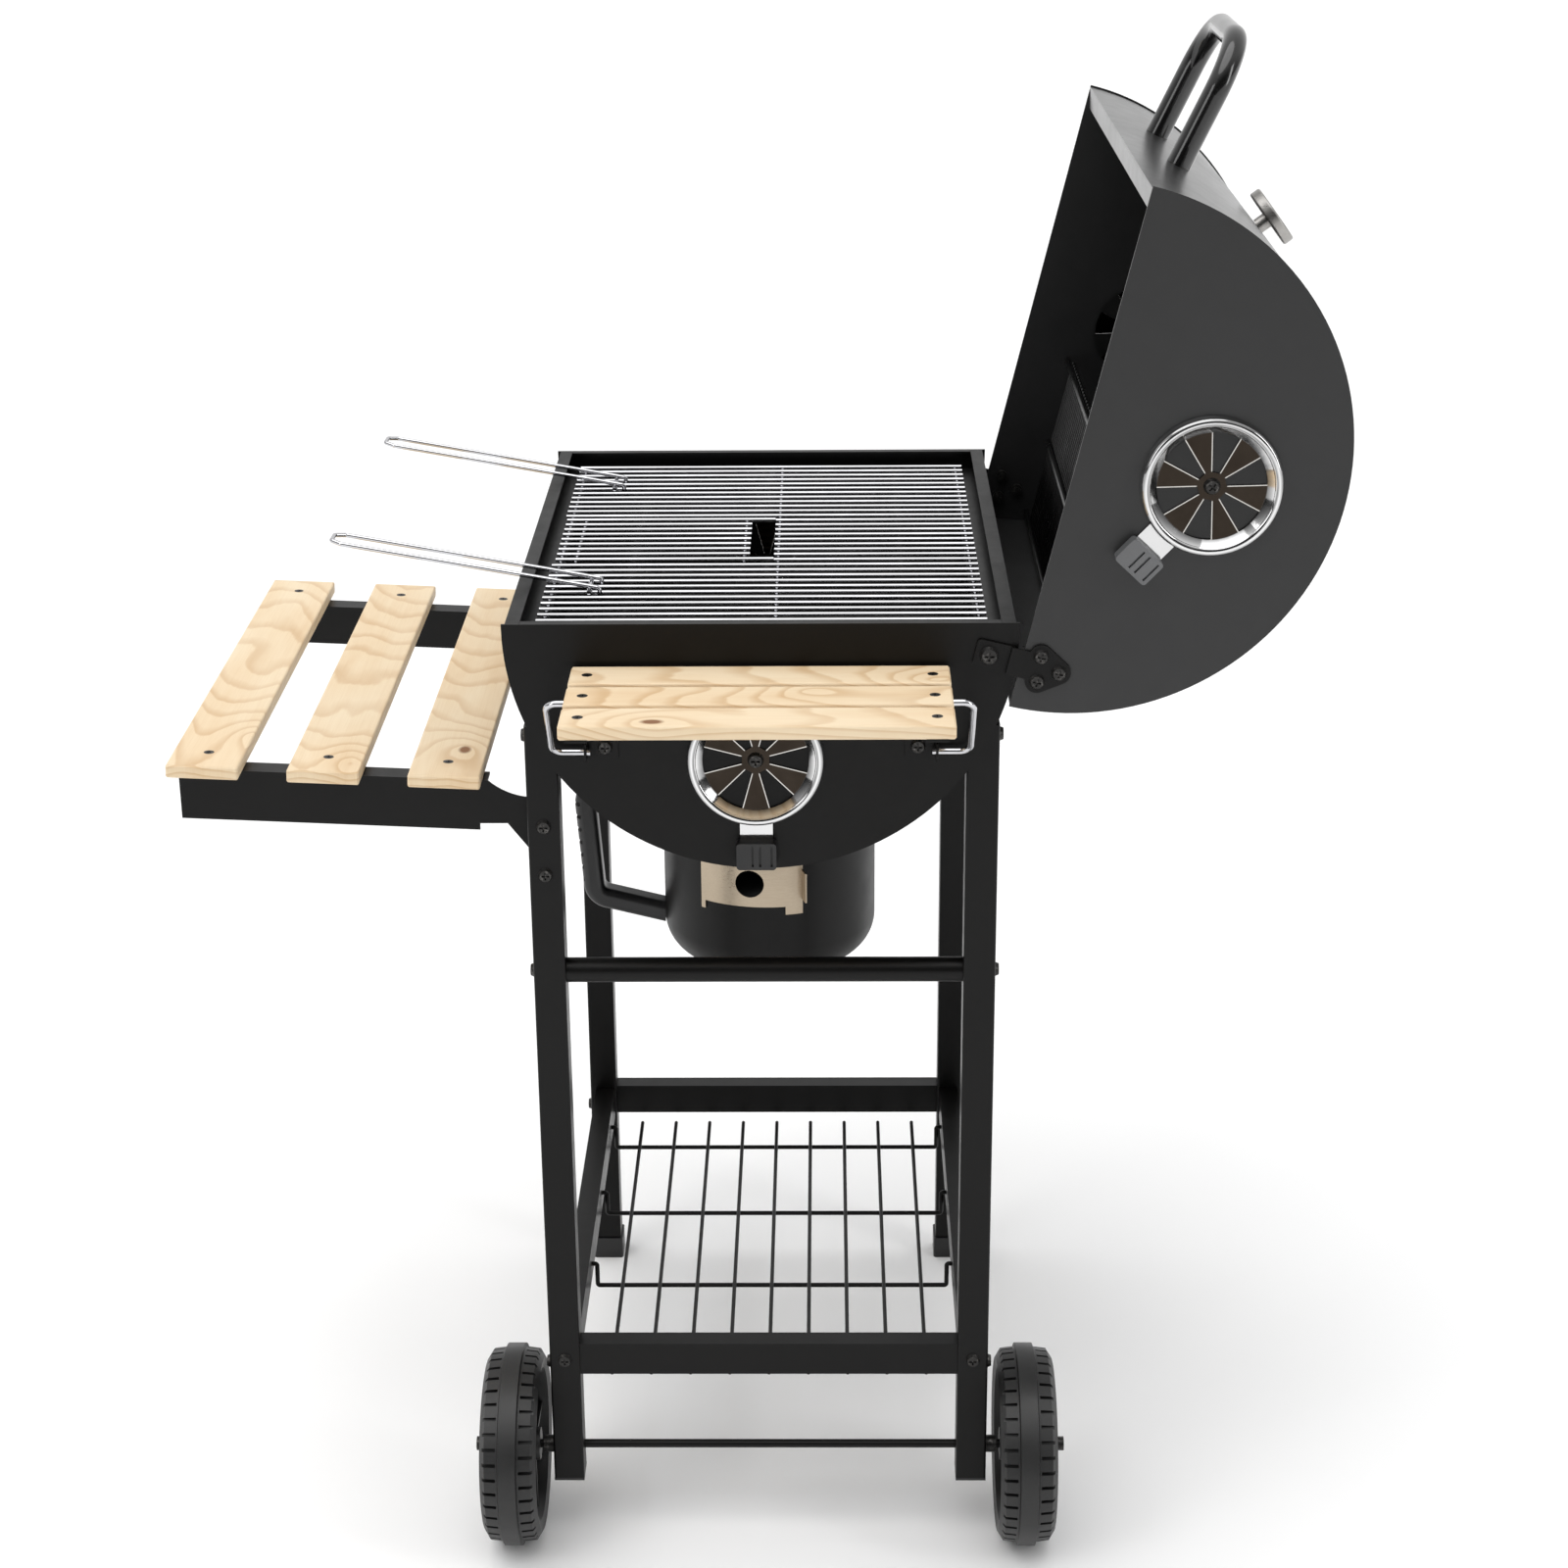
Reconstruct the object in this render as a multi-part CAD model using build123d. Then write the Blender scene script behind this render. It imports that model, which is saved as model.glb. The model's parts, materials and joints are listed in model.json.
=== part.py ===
"""Barrel charcoal grill on a two-wheeled trolley, lid open.

Frame: +X along the barrel towards the side shelf, -Y towards the cook, +Z up.
The origin is under the middle of the whole grill, on the ground. Millimetres.
"""
from build123d import *
from math import cos, radians, sin, sqrt, tan
import os

os.makedirs("parts", exist_ok=True)

# ---- driving dimensions -------------------------------------------------------------
BOX_L = 572.0            # firebox, outside of end plate to outside of end plate
BOX_R = 213.0            # firebox shell, outside radius
RIM_Z = 908.0            # height of the firebox rim
SHEET = 2.0              # sheet metal of firebox and lid
PLATE_LIP = 3.0          # how far an end plate stands past the shell
SKIRT = 4.0              # straight part of the shell above its half circle
FLANGE_W = 12.0          # inward flange along the front and back rim
GAP = 0.3                # clearance between pieces of different bodies
TOUCH = 0.05             # play of bolts in their holes

LID_STEP = 8.0           # lid shell radius over the firebox radius
LID_OFFSET_Y = 7.5       # lid centre behind the firebox centre, when closed
LID_GAP_X = 2.0          # lid end plate outside the firebox end plate
LID_LIP_W = 18.0         # stiffening lip along the front of the lid
LID_LIP_TILT = 13.0      # degrees
LID_OPEN = 103.6         # degrees between closed and open
PIVOT_INSET = 22.4       # hinge pin inside the firebox radius
PIVOT_DROP = 27.4        # hinge pin below the rim

LEG = 28.0               # square leg tube
LEG_WALL = 1.5
LEG_INSET_Y = 25.0       # leg centre inside the firebox radius
LEG_INSET_X = 26.0       # leg centre in from the firebox end
LEG_TOP_DROP = 95.0      # top of the legs below the rim
LEG_BELOW_AXLE = 29.0    # the wheeled legs end this far below the axle
WHEEL_R = 93.0
WHEEL_W = 52.0
WHEEL_OUT = 36.0         # wheel centre outside the leg's outer face
AXLE_R = 4.0
RAIL_BOTTOM = 176.0      # lower frame, underside above the ground
RAIL_H = 32.0
RAIL_T = 20.0
CROSS_R = 11.0           # round upper crossbar
CROSS_DROP = 327.0       # upper crossbar below the rim

GRATE_PITCH = 16.15
GRATE_END_ROOM = 26.0    # least room between the last wire and the firebox end
WIRE_R = 2.0
GRATE_DROP = 11.0        # wire centres below the rim
GRATE_INSET = 22.0       # wire ends inside the firebox radius
INSERT_HALF_COUNT = 4
GRIP_AT = (9.5, -11.5)   # the two grate handles, in wire pitches from the middle
GRIP_TILT = 10.3
GRIP_REACH = 183.0       # the handles stand out past the wire ends

VENT_OPEN_R = 45.0       # six wedge openings out to this radius
VENT_RIM = 14.0          # rolled rim around them
VENT_SHUT = 30.0         # degrees from a shut vent to an open one
VENT_HUB_R = 12.0
BOX_VENT_Y = -5.0
BOX_VENT_DROP = 120.4
LID_VENT_Y = 7.6
LID_VENT_RISE = 112.0

SIDE_SLAT_W = 45.0
SLAT_T = 12.0
SIDE_SLAT_GAP = 7.0
SIDE_INSET = 55.5        # slat ends inside the firebox radius
SIDE_TOP_DROP = 35.0
SIDE_PIVOT_OUT = 9.0
SIDE_PIVOT_DROP = 110.0
SIDE_WIRE_R = 3.0

FRONT_SLAT_W = 62.0
FRONT_SLAT_GAP = 41.5
FRONT_OVERHANG = 10.0    # slats past the centre of the legs
FRONT_FIRST = 71.0       # first slat's centre out from the legs
ARM_REACH = 303.0        # arm end out from the legs
ARM_TOP_DROP = 142.0     # outer end of an arm below the rim
FRONT_TILT = 2.6
ARM_H = 46.0             # height of a front shelf arm
ARM_T = 2.0
ARM_FLANGE = 22.0

POT_R = 101.0
POT_HANG = 201.0         # pot bottom below the trough
POT_WALL = 1.6
POT_CORNER = 36.0

THERMO_R = 27.0
THERMO_ARC = 40.0
HANDLE_ARC = 12.0
HANDLE_HALF = 85.0
HANDLE_REACH = 112.0
HANDLE_R = 10.5

# ---- derived ------------------------------------------------------------------------
HALF = BOX_L / 2
LID_R = BOX_R + LID_STEP
PIVOT_Y = BOX_R - PIVOT_INSET
LEG_Y = BOX_R - LEG_INSET_Y
LEG_X = HALF - LEG_INSET_X
WHEEL_LEG_GAP = WHEEL_R - LEG_BELOW_AXLE
WHEEL_Y = LEG_Y + LEG / 2 + WHEEL_OUT
CROSS_Z = RIM_Z - CROSS_DROP
GRATE_HALF_COUNT = int((HALF - GRATE_END_ROOM) / GRATE_PITCH)
GRATE_HALF_Y = BOX_R - GRATE_INSET
GRIP_END_Y = -GRATE_HALF_Y - GRIP_REACH
VENT_R = VENT_OPEN_R + VENT_RIM
BOX_CZ = RIM_Z - SKIRT               # axis of the firebox half cylinder
BOX_IN_R = BOX_R - SHEET
POT_BOTTOM_Z = BOX_CZ - BOX_R - POT_HANG
PLATE_R = BOX_R + PLATE_LIP
LID_IN_R = LID_R - SHEET
LID_HALF = HALF + LID_GAP_X + SHEET  # outside of a lid end plate
LID_INNER = HALF + LID_GAP_X
PIVOT_Z = RIM_Z - PIVOT_DROP
GRATE_Z = RIM_Z - GRATE_DROP
WIRE_SINK = 0.5                      # welded wires sink into each other

nodes = {}
bodies = {}


def add(name, shape, body="root"):
    """Keep one named piece, or one group of separate solids, and the body it moves with."""
    nodes[name] = shape
    bodies.setdefault(body, []).append(name)


def as_group(solids):
    """Several separate solids kept in one node."""
    flat = []
    for item in solids:
        flat.extend(item.solids())
    return Compound(children=flat)


def box(x0, x1, y0, y1, z0, z1):
    """A block from its limits."""
    return Pos((x0 + x1) / 2, (y0 + y1) / 2, (z0 + z1) / 2) * Box(x1 - x0, y1 - y0, z1 - z0)


def rod(start, end, radius):
    """A round bar between two points."""
    a, b = Vector(*start), Vector(*end)
    line = b - a
    plane = Plane(origin=a, z_dir=line)
    return extrude(plane * Circle(radius), line.length)


def ring_x(x0, x1, y, z, outer, inner=0.0):
    """A disc or ring whose axis is along X."""
    disc = Circle(outer)
    if inner > 0:
        disc = disc - Circle(inner)
    return extrude(Plane(origin=(x0, y, z), x_dir=(0, 1, 0), z_dir=(1, 0, 0)) * disc, x1 - x0)


def ring_y(y0, y1, x, z, outer, inner=0.0):
    """A disc or ring whose axis is along Y."""
    disc = Circle(outer)
    if inner > 0:
        disc = disc - Circle(inner)
    return extrude(Plane(origin=(x, y0, z), x_dir=(0, 0, 1), z_dir=(0, 1, 0)) * disc, y1 - y0)


def ring_z(z0, z1, x, y, outer, inner=0.0):
    """A disc or ring whose axis is along Z."""
    disc = Circle(outer)
    if inner > 0:
        disc = disc - Circle(inner)
    return extrude(Plane(origin=(x, y, z0)) * disc, z1 - z0)


def wire(points, radius, bend):
    """A round wire bent along points, with one bend radius."""
    path = FilletPolyline(*points, radius=bend)
    section = Plane(origin=path @ 0, z_dir=path % 0) * Circle(radius)
    return sweep(section, path=path)


def profile_x(points, x0, x1):
    """A flat outline in the YZ plane, extruded from x0 to x1."""
    face = make_face(Polyline(*[(x0, y, z) for y, z in points], close=True))
    return extrude(face, x1 - x0, dir=(1, 0, 0))


def half_disc(radius, x0, x1, y, z, upper, straight=0.0):
    """Half a disc along X, with a straight stretch on its flat side."""
    disc = ring_x(x0, x1, y, z, radius)
    if upper:
        keep = box(x0, x1, y - radius, y + radius, z, z + radius)
        return disc & keep
    keep = box(x0, x1, y - radius, y + radius, z - radius, z)
    half = disc & keep
    if straight > 0:
        half = half + box(x0, x1, y - radius, y + radius, z, z + straight)
    return half


def screw(head_at, direction, head_r, head_h, shank_r, length, slot=True):
    """A domed cross-head screw: head outside the point, shank into the work."""
    into = Vector(*direction).normalized()
    at = Vector(*head_at)
    plane = Plane(origin=at, z_dir=-into)
    dome = extrude(plane * Circle(head_r), head_h, taper=22)
    shank = extrude(Plane(origin=at, z_dir=into) * Circle(shank_r), length)
    body = dome + shank
    if slot:
        cut_w = head_r * 0.24
        cut_l = head_r * 1.05
        deep = head_h * 0.55
        top = Plane(origin=at - into * (head_h - deep), z_dir=-into)
        cross = Rectangle(cut_w, cut_l) + Rectangle(cut_l, cut_w)
        body = body - extrude(top * cross, deep * 1.5)
    return body


def fan_openings(x0, x1, y, z, turn=0.0):
    """The six wedge openings of a vent, as cutters along X."""
    cutters = []
    for k in range(6):
        mid = radians(turn + 60.0 * k)
        half = radians(15.0)
        outline = []
        for side in (-1, 1):
            outline.append((VENT_HUB_R, mid + side * half))
        points = [
            (VENT_HUB_R * cos(outline[0][1]), VENT_HUB_R * sin(outline[0][1])),
            (VENT_OPEN_R * cos(outline[0][1]), VENT_OPEN_R * sin(outline[0][1])),
            (VENT_OPEN_R * cos(mid), VENT_OPEN_R * sin(mid)),
            (VENT_OPEN_R * cos(outline[1][1]), VENT_OPEN_R * sin(outline[1][1])),
            (VENT_HUB_R * cos(outline[1][1]), VENT_HUB_R * sin(outline[1][1])),
        ]
        sides = Line(points[0], points[1]) + ThreePointArc(points[1], points[2], points[3])
        sides = sides + Line(points[3], points[4]) + Line(points[4], points[0])
        plane = Plane(origin=(x0, y, z), x_dir=(0, 1, 0), z_dir=(1, 0, 0))
        cutters.append(extrude(plane * make_face(sides), x1 - x0))
    return cutters


def cut_all(shape, cutters):
    """Cut a list of solids out of a shape."""
    for cutter in cutters:
        shape = shape - cutter
    return shape


# ---- firebox ------------------------------------------------------------------------
CHUTE_OUT_R = POT_R - POT_WALL - GAP
ASH_HOLE_R = 70.0
CHUTE_BOTTOM = BOX_CZ - BOX_R - 24.0
BOLT_R = 3.0
BOLT_HEAD_R = 6.5
BOLT_HEAD_H = 3.6


def fix_bolt(at, direction, reach):
    """A pan-head bolt whose head rests at a point."""
    return screw(at, direction, BOLT_HEAD_R, BOLT_HEAD_H, BOLT_R, reach)


def box_shell():
    """Half-round trough with its rim flanges and the ash outlet."""
    wall_x0 = -HALF + SHEET
    wall_x1 = HALF - SHEET
    outer = half_disc(BOX_R, wall_x0, wall_x1, 0, BOX_CZ, False, SKIRT)
    inner = half_disc(BOX_IN_R, wall_x0, wall_x1, 0, BOX_CZ, False, SKIRT)
    shell = outer - inner
    for side in (-1, 1):
        near, far = sorted((side * (BOX_R - FLANGE_W), side * (BOX_R - 0.1)))
        shell = shell + box(wall_x0, wall_x1, near, far, RIM_Z - SHEET, RIM_Z)
    shell = shell - ring_z(BOX_CZ - BOX_R - 5, BOX_CZ - BOX_R + 60, 0, 0, ASH_HOLE_R)
    return shell


def end_plate(side):
    """Firebox end plate with six vent openings and a folded top edge."""
    x0, x1 = sorted((side * (HALF - SHEET), side * HALF))
    plate = half_disc(PLATE_R, x0, x1, 0, BOX_CZ, False, SKIRT)
    fold0, fold1 = sorted((side * (HALF - SHEET), side * (HALF - 9.0)))
    edge = BOX_R - FLANGE_W - GAP
    plate = plate + box(fold0, fold1, -edge, edge, RIM_Z - SHEET, RIM_Z)
    cutters = fan_openings(x0 - 1, x1 + 1, BOX_VENT_Y, RIM_Z - BOX_VENT_DROP, VENT_SHUT)
    return cut_all(plate, cutters)


def leg_bolt_points():
    """Where the legs are bolted to the trough: x, y sign."""
    return [(sx * LEG_X, sy) for sx in (-1, 1) for sy in (-1, 1)]


LEG_BOLT_Z = RIM_Z - LEG_TOP_DROP - 12.0
LEG_OUT_Y = LEG_Y + LEG / 2
leg_bolts = []
for bolt_x, sy in leg_bolt_points():
    leg_bolts.append(fix_bolt((bolt_x, sy * LEG_OUT_Y, LEG_BOLT_Z), (0, -sy, 0), 34.0))

CHARCOAL_DROP = 118.0
LEDGE_W = 28.0
CROSS_WIRE_Z = GRATE_Z - 2 * WIRE_R + WIRE_SINK
LEDGE_TOP = CROSS_WIRE_Z - WIRE_R


def grate_ledge(sy):
    """Angle strip that carries the cooking grate along one side of the firebox."""
    wall_y = sqrt(BOX_IN_R ** 2 - (BOX_CZ - LEDGE_TOP + 14.0) ** 2) - 0.1
    y0, y1 = sorted((sy * wall_y, sy * (wall_y - LEDGE_W)))
    top = box(-HALF + 12, HALF - 12, y0, y1, LEDGE_TOP - 1.5, LEDGE_TOP)
    t0, t1 = sorted((sy * wall_y, sy * (wall_y - 1.5)))
    return top + box(-HALF + 12, HALF - 12, t0, t1, LEDGE_TOP - 14.0, LEDGE_TOP)


def ash_chute():
    """Round collar under the firebox that the ash pot pushes onto."""
    tube = ring_z(CHUTE_BOTTOM, BOX_CZ, 0, 0, CHUTE_OUT_R, CHUTE_OUT_R - 1.6)
    return tube - ring_x(-CHUTE_OUT_R - 5, CHUTE_OUT_R + 5, 0, BOX_CZ, BOX_R + 0.05)


def charcoal_grate():
    """Welded rods that hold the charcoal above the ash outlet."""
    z = RIM_Z - CHARCOAL_DROP
    half_y = sqrt((BOX_IN_R - GAP) ** 2 - (BOX_CZ - z + 2.5) ** 2)
    pitch = 24.0
    count = int((HALF - 16.0) / pitch)
    rods = rod((-count * pitch, 0, z), (count * pitch, 0, z), 3.0)
    for y in (-half_y * 0.72, half_y * 0.72):
        rods = rods + rod((-count * pitch - 6, y, z - 5.0), (count * pitch + 6, y, z - 5.0), 3.0)
    for k in range(-count, count + 1):
        rods = rods + rod((k * pitch, -half_y, z), (k * pitch, half_y, z), 2.5)
    return rods


def hinge_pin(side):
    """Pivot bolt of the lid through the firebox end plate, with its nut inside."""
    face = HALF + GAP + ARM_STRAP + GAP
    head = screw((side * face, PIVOT_Y, PIVOT_Z), (-side, 0, 0), 8.0, 4.4, PIN_R, 12.0)
    nut0, nut1 = sorted((side * (HALF - SHEET), side * (HALF - SHEET - 5.0)))
    nut = ring_x(nut0, nut1, PIVOT_Y, PIVOT_Z, 7.0, PIN_R)
    return head + nut


ARM_STRAP = 2.5
PIN_R = 4.0
shell = box_shell()
for bolt in leg_bolts:
    shell = shell - bolt
add("firebox_shell", shell)
for plate_name, side in (("firebox_end_right", 1), ("firebox_end_left", -1)):
    plate = end_plate(side)
    pin0, pin1 = sorted((side * (HALF + 1), side * (HALF - SHEET - 1)))
    plate = plate - ring_x(pin0, pin1, PIVOT_Y, PIVOT_Z, PIN_R + TOUCH)
    plate = plate - ring_x(pin0, pin1, BOX_VENT_Y, RIM_Z - BOX_VENT_DROP, BOLT_R + TOUCH)
    add(plate_name, plate)
add("grate_ledges", as_group([grate_ledge(-1), grate_ledge(1)]))
add("ash_chute", ash_chute())
add("charcoal_grate", charcoal_grate())
add("hinge_pins", as_group([hinge_pin(1), hinge_pin(-1)]))


# ---- cooking grate, its insert and its two handles ------------------------------------
GRATE_END = GRATE_HALF_COUNT * GRATE_PITCH
MID_CROSS_Y = 12.0
END_CROSS_Y = GRATE_HALF_Y - 6.0
FINGER_Y = -14.0


def cooking_grate():
    """Chrome wire grate with a cut-out for the lift-out insert."""
    shape = None
    for y in (-END_CROSS_Y, MID_CROSS_Y, END_CROSS_Y):
        bar = rod((-GRATE_END - 4, y, CROSS_WIRE_Z), (GRATE_END + 4, y, CROSS_WIRE_Z), WIRE_R)
        shape = bar if shape is None else shape + bar
    for k in range(-GRATE_HALF_COUNT, GRATE_HALF_COUNT + 1):
        x = k * GRATE_PITCH
        start = MID_CROSS_Y - 4.0 if abs(k) <= INSERT_HALF_COUNT else -GRATE_HALF_Y
        shape = shape + rod((x, start, GRATE_Z), (x, GRATE_HALF_Y, GRATE_Z), WIRE_R)
    return shape


def grate_insert():
    """Lift-out middle of the grate, hooked over the cut-out's cross wires."""
    lift = WIRE_SINK + GAP
    z = GRATE_Z + lift
    low = CROSS_WIRE_Z + lift
    end_x = INSERT_HALF_COUNT * GRATE_PITCH
    shape = None
    for y in (-END_CROSS_Y + 14.0, FINGER_Y - 5.0):
        bar = rod((-end_x - 4, y, low), (end_x + 4, y, low), WIRE_R)
        shape = bar if shape is None else shape + bar
    for k in range(-INSERT_HALF_COUNT, INSERT_HALF_COUNT + 1):
        x = k * GRATE_PITCH
        hooked = abs(k) == INSERT_HALF_COUNT
        end = MID_CROSS_Y - 4.0 - GAP if hooked else FINGER_Y
        shape = shape + rod((x, -GRATE_HALF_Y + 2.0, z), (x, end, z), WIRE_R)
    return shape


def grate_grip(x):
    """Hairpin wire handle, hooked down between two grate wires."""
    half = 14.0
    slope = tan(radians(GRIP_TILT))
    base_z = GRATE_Z + 2 * WIRE_R + 3.0
    hook_y = 44.0 - GRATE_HALF_Y
    stay_y = hook_y - 4.0
    end_z = base_z + (hook_y - GRIP_END_Y) * slope
    low_z = GRATE_Z - 9.0
    nose = 9.0
    path = [
        (x - half, hook_y - 2.0, low_z), (x - half, hook_y + 5.0, low_z),
        (x - half, hook_y + 5.0, base_z - 1.0), (x - half, hook_y - 14.0, base_z + 14.0 * slope),
        (x - half, GRIP_END_Y + nose, end_z - nose * slope), (x - half * 0.6, GRIP_END_Y, end_z),
        (x + half * 0.6, GRIP_END_Y, end_z), (x + half, GRIP_END_Y + nose, end_z - nose * slope),
        (x + half, hook_y - 14.0, base_z + 14.0 * slope), (x + half, hook_y + 5.0, base_z - 1.0),
        (x + half, hook_y + 5.0, low_z), (x + half, hook_y - 2.0, low_z),
    ]
    grip = wire(path, WIRE_R, 3.0)
    stay_z = GRATE_Z + 2 * WIRE_R
    stay = rod((x - half - 7.0, stay_y, stay_z), (x + half + 7.0, stay_y, stay_z), WIRE_R)
    return grip + stay


add("cooking_grate", cooking_grate())
add("grate_insert", grate_insert(), "grate_insert")
add("grate_handles", as_group([grate_grip(at * GRATE_PITCH) for at in GRIP_AT]))


# ---- vents --------------------------------------------------------------------------
DISC_T = 1.2
KNOB_AT = VENT_R + 25.0
HUB_HOLE = BOLT_R + 0.08


def vent_damper():
    """Turning disc, rolled rim and lever of a vent: axis on X through the origin, lever down."""
    disc = ring_x(0, DISC_T, 0, 0, VENT_OPEN_R + 3.0, HUB_HOLE)
    disc = cut_all(disc, fan_openings(-1, DISC_T + 1, 0, 0))
    rim = Line((VENT_OPEN_R, 0), (VENT_OPEN_R, 1.6))
    foot, crest, brow = (VENT_R - 8.5, 6.6), (VENT_R - 4.8, 8.6), (VENT_R - 1.4, 6.2)
    rim = rim + Line((VENT_OPEN_R, 1.6), foot) + ThreePointArc(foot, crest, brow)
    rim = rim + Line(brow, (VENT_R, 1.0)) + Line((VENT_R, 1.0), (VENT_R, 0))
    rim = rim + Line((VENT_R, 0), (VENT_OPEN_R, 0))
    radial = Plane(origin=(0, 0, 0), x_dir=(0, 1, 0), z_dir=(0, 0, -1))
    ring = revolve(radial * make_face(rim), axis=Axis.X)
    return disc + ring + box(0.4, 2.0, -14.0, 14.0, -KNOB_AT - 4.0, -VENT_R + 2.0)


def vent_knob():
    """Moulded grip pushed over the end of a vent lever."""
    body = box(0.0, 13.0, -17.0, 17.0, -KNOB_AT - 12.0, -KNOB_AT + 12.0)
    body = fillet(body.edges().filter_by(Axis.X), 3.0)
    for y in (-3.2, 3.2, 13.0):
        body = body - box(10.5, 14.0, y - 0.9, y + 0.9, -KNOB_AT - 9.0, -KNOB_AT + 9.0)
    return body - box(0.4, 2.0, -14.0, 14.0, -KNOB_AT - 4.0, -KNOB_AT + 13.0)


def vent_screw():
    """Middle screw of a vent, with its washer and the nut behind the plate."""
    head = screw((DISC_T + GAP, 0, 0), (-1, 0, 0), 7.0, 4.0, BOLT_R, DISC_T + 2 * GAP + SHEET + 6.0)
    nut_x = -GAP - SHEET
    return head + ring_x(nut_x - 4.5, nut_x, 0, 0, 6.0, BOLT_R)


def place_vent(shape, side, turn):
    """Move a vent piece to an end plate's outer face."""
    placed = Rot(turn, 0, 0) * shape
    if side < 0:
        placed = mirror(placed, about=Plane.YZ)
    return placed


def lid_closed_to_open(shape):
    """Swing a lid piece from its closed place to its open one."""
    axis = Axis((0, PIVOT_Y, PIVOT_Z), (1, 0, 0))
    return shape.rotate(axis, -LID_OPEN)


damper, knob, middle = vent_damper(), vent_knob(), vent_screw()
box_vent_z = RIM_Z - BOX_VENT_DROP
lid_vent_z = RIM_Z + LID_VENT_RISE
box_middles, lid_middles = [], []
for tag, side in (("right", 1), ("left", -1)):
    at = Pos(side * (HALF + GAP), BOX_VENT_Y, box_vent_z)
    body = "firebox_vent_" + tag
    add("firebox_damper_" + tag, at * place_vent(damper, side, 0), body)
    add("firebox_vent_knob_" + tag, at * place_vent(knob, side, 0), body)
    box_middles.append(at * place_vent(middle, side, 0))
    at = Pos(side * (LID_HALF + GAP), LID_VENT_Y, lid_vent_z)
    body = "lid_vent_" + tag
    add("lid_damper_" + tag, lid_closed_to_open(at * place_vent(damper, side, 60)), body)
    add("lid_vent_knob_" + tag, lid_closed_to_open(at * place_vent(knob, side, 60)), body)
    lid_middles.append(lid_closed_to_open(at * place_vent(middle, side, 60)))
add("firebox_vent_screws", as_group(box_middles))
add("lid_vent_screws", as_group(lid_middles), "lid")


# ---- lid (drawn closed, then swung open) -----------------------------------------------
RACK_Z = RIM_Z + 48.0
RACK_FRONT_Y = 51.0
RACK_PITCH = 12.4
RACK_WIRES = 2 * int((LID_INNER - 27.0) / RACK_PITCH) + 1


def on_lid(angle, reach):
    """A point outside the lid at an arc angle up from its front edge: y and z."""
    a = radians(angle)
    return LID_OFFSET_Y - reach * cos(a), RIM_Z + reach * sin(a)


def lid_shell():
    """Half-round cover with a tilted stiffening lip along its front edge."""
    outer = half_disc(LID_R, -LID_INNER, LID_INNER, LID_OFFSET_Y, RIM_Z, True)
    inner = half_disc(LID_IN_R, -LID_INNER - 1, LID_INNER + 1, LID_OFFSET_Y, RIM_Z, True)
    cover = outer - inner
    front = LID_OFFSET_Y - LID_IN_R - 0.4
    rise = LID_LIP_W * tan(radians(LID_LIP_TILT))
    lip = profile_x([
        (front, RIM_Z), (front + LID_LIP_W, RIM_Z + rise),
        (front + LID_LIP_W, RIM_Z + rise + SHEET), (front, RIM_Z + SHEET),
    ], -LID_INNER, LID_INNER)
    return cover + lip


def lid_end(side):
    """Lid end plate with its six vent openings."""
    x0, x1 = sorted((side * LID_INNER, side * LID_HALF))
    plate = half_disc(LID_R + 1.5, x0, x1, LID_OFFSET_Y, RIM_Z, True)
    cutters = fan_openings(x0 - 1, x1 + 1, LID_VENT_Y, lid_vent_z, VENT_SHUT)
    return cut_all(plate, cutters) - ring_x(x0 - 1, x1 + 1, LID_VENT_Y, lid_vent_z, BOLT_R + TOUCH)


HINGE_HOLES = ((-10.0, 42.0), (0.6, 60.0), (12.0, 44.0))
HINGE_STEP_Z = 17.0
HINGE_CORNER_R = 10.0


def hinge_points():
    """The three screws that hold a hinge arm to the lid: y and z."""
    return [(PIVOT_Y + y, PIVOT_Z + z) for y, z in HINGE_HOLES]


def hinge_arm(side):
    """Joggled strap from the pivot bolt out to the lid end plate."""
    inner0 = HALF + GAP
    outer0 = LID_HALF
    square = box(inner0, inner0 + ARM_STRAP, PIVOT_Y - 12, PIVOT_Y + 12,
                 PIVOT_Z - 12, PIVOT_Z + HINGE_STEP_Z)
    square = fillet(square.edges().filter_by(Axis.X).group_by(Axis.Z)[0], 3.0)
    square = square - ring_x(inner0 - 1, inner0 + 4, PIVOT_Y, PIVOT_Z, PIN_R + 0.08)
    step = box(inner0, outer0 + ARM_STRAP, PIVOT_Y - 12, PIVOT_Y + 12,
               PIVOT_Z + HINGE_STEP_Z, PIVOT_Z + HINGE_STEP_Z + ARM_STRAP)
    neck = box(outer0, outer0 + ARM_STRAP, PIVOT_Y - 12, PIVOT_Y + 12,
               PIVOT_Z + HINGE_STEP_Z, PIVOT_Z + 42.0)
    plate = neck
    corners = hinge_points()
    for y, z in corners:
        plate = plate + ring_x(outer0, outer0 + ARM_STRAP, y, z, HINGE_CORNER_R)
    for k in range(3):
        (ya, za), (yb, zb) = corners[k], corners[(k + 1) % 3]
        length = sqrt((yb - ya) ** 2 + (zb - za) ** 2)
        ny, nz = (zb - za) / length * HINGE_CORNER_R, -(yb - ya) / length * HINGE_CORNER_R
        plate = plate + profile_x([
            (ya + ny, za + nz), (yb + ny, zb + nz), (yb - ny, zb - nz), (ya - ny, za - nz),
        ], outer0, outer0 + ARM_STRAP)
    plate = plate + profile_x(corners, outer0, outer0 + ARM_STRAP)
    arm = square + step + plate
    return arm if side > 0 else mirror(arm, about=Plane.YZ)


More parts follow.
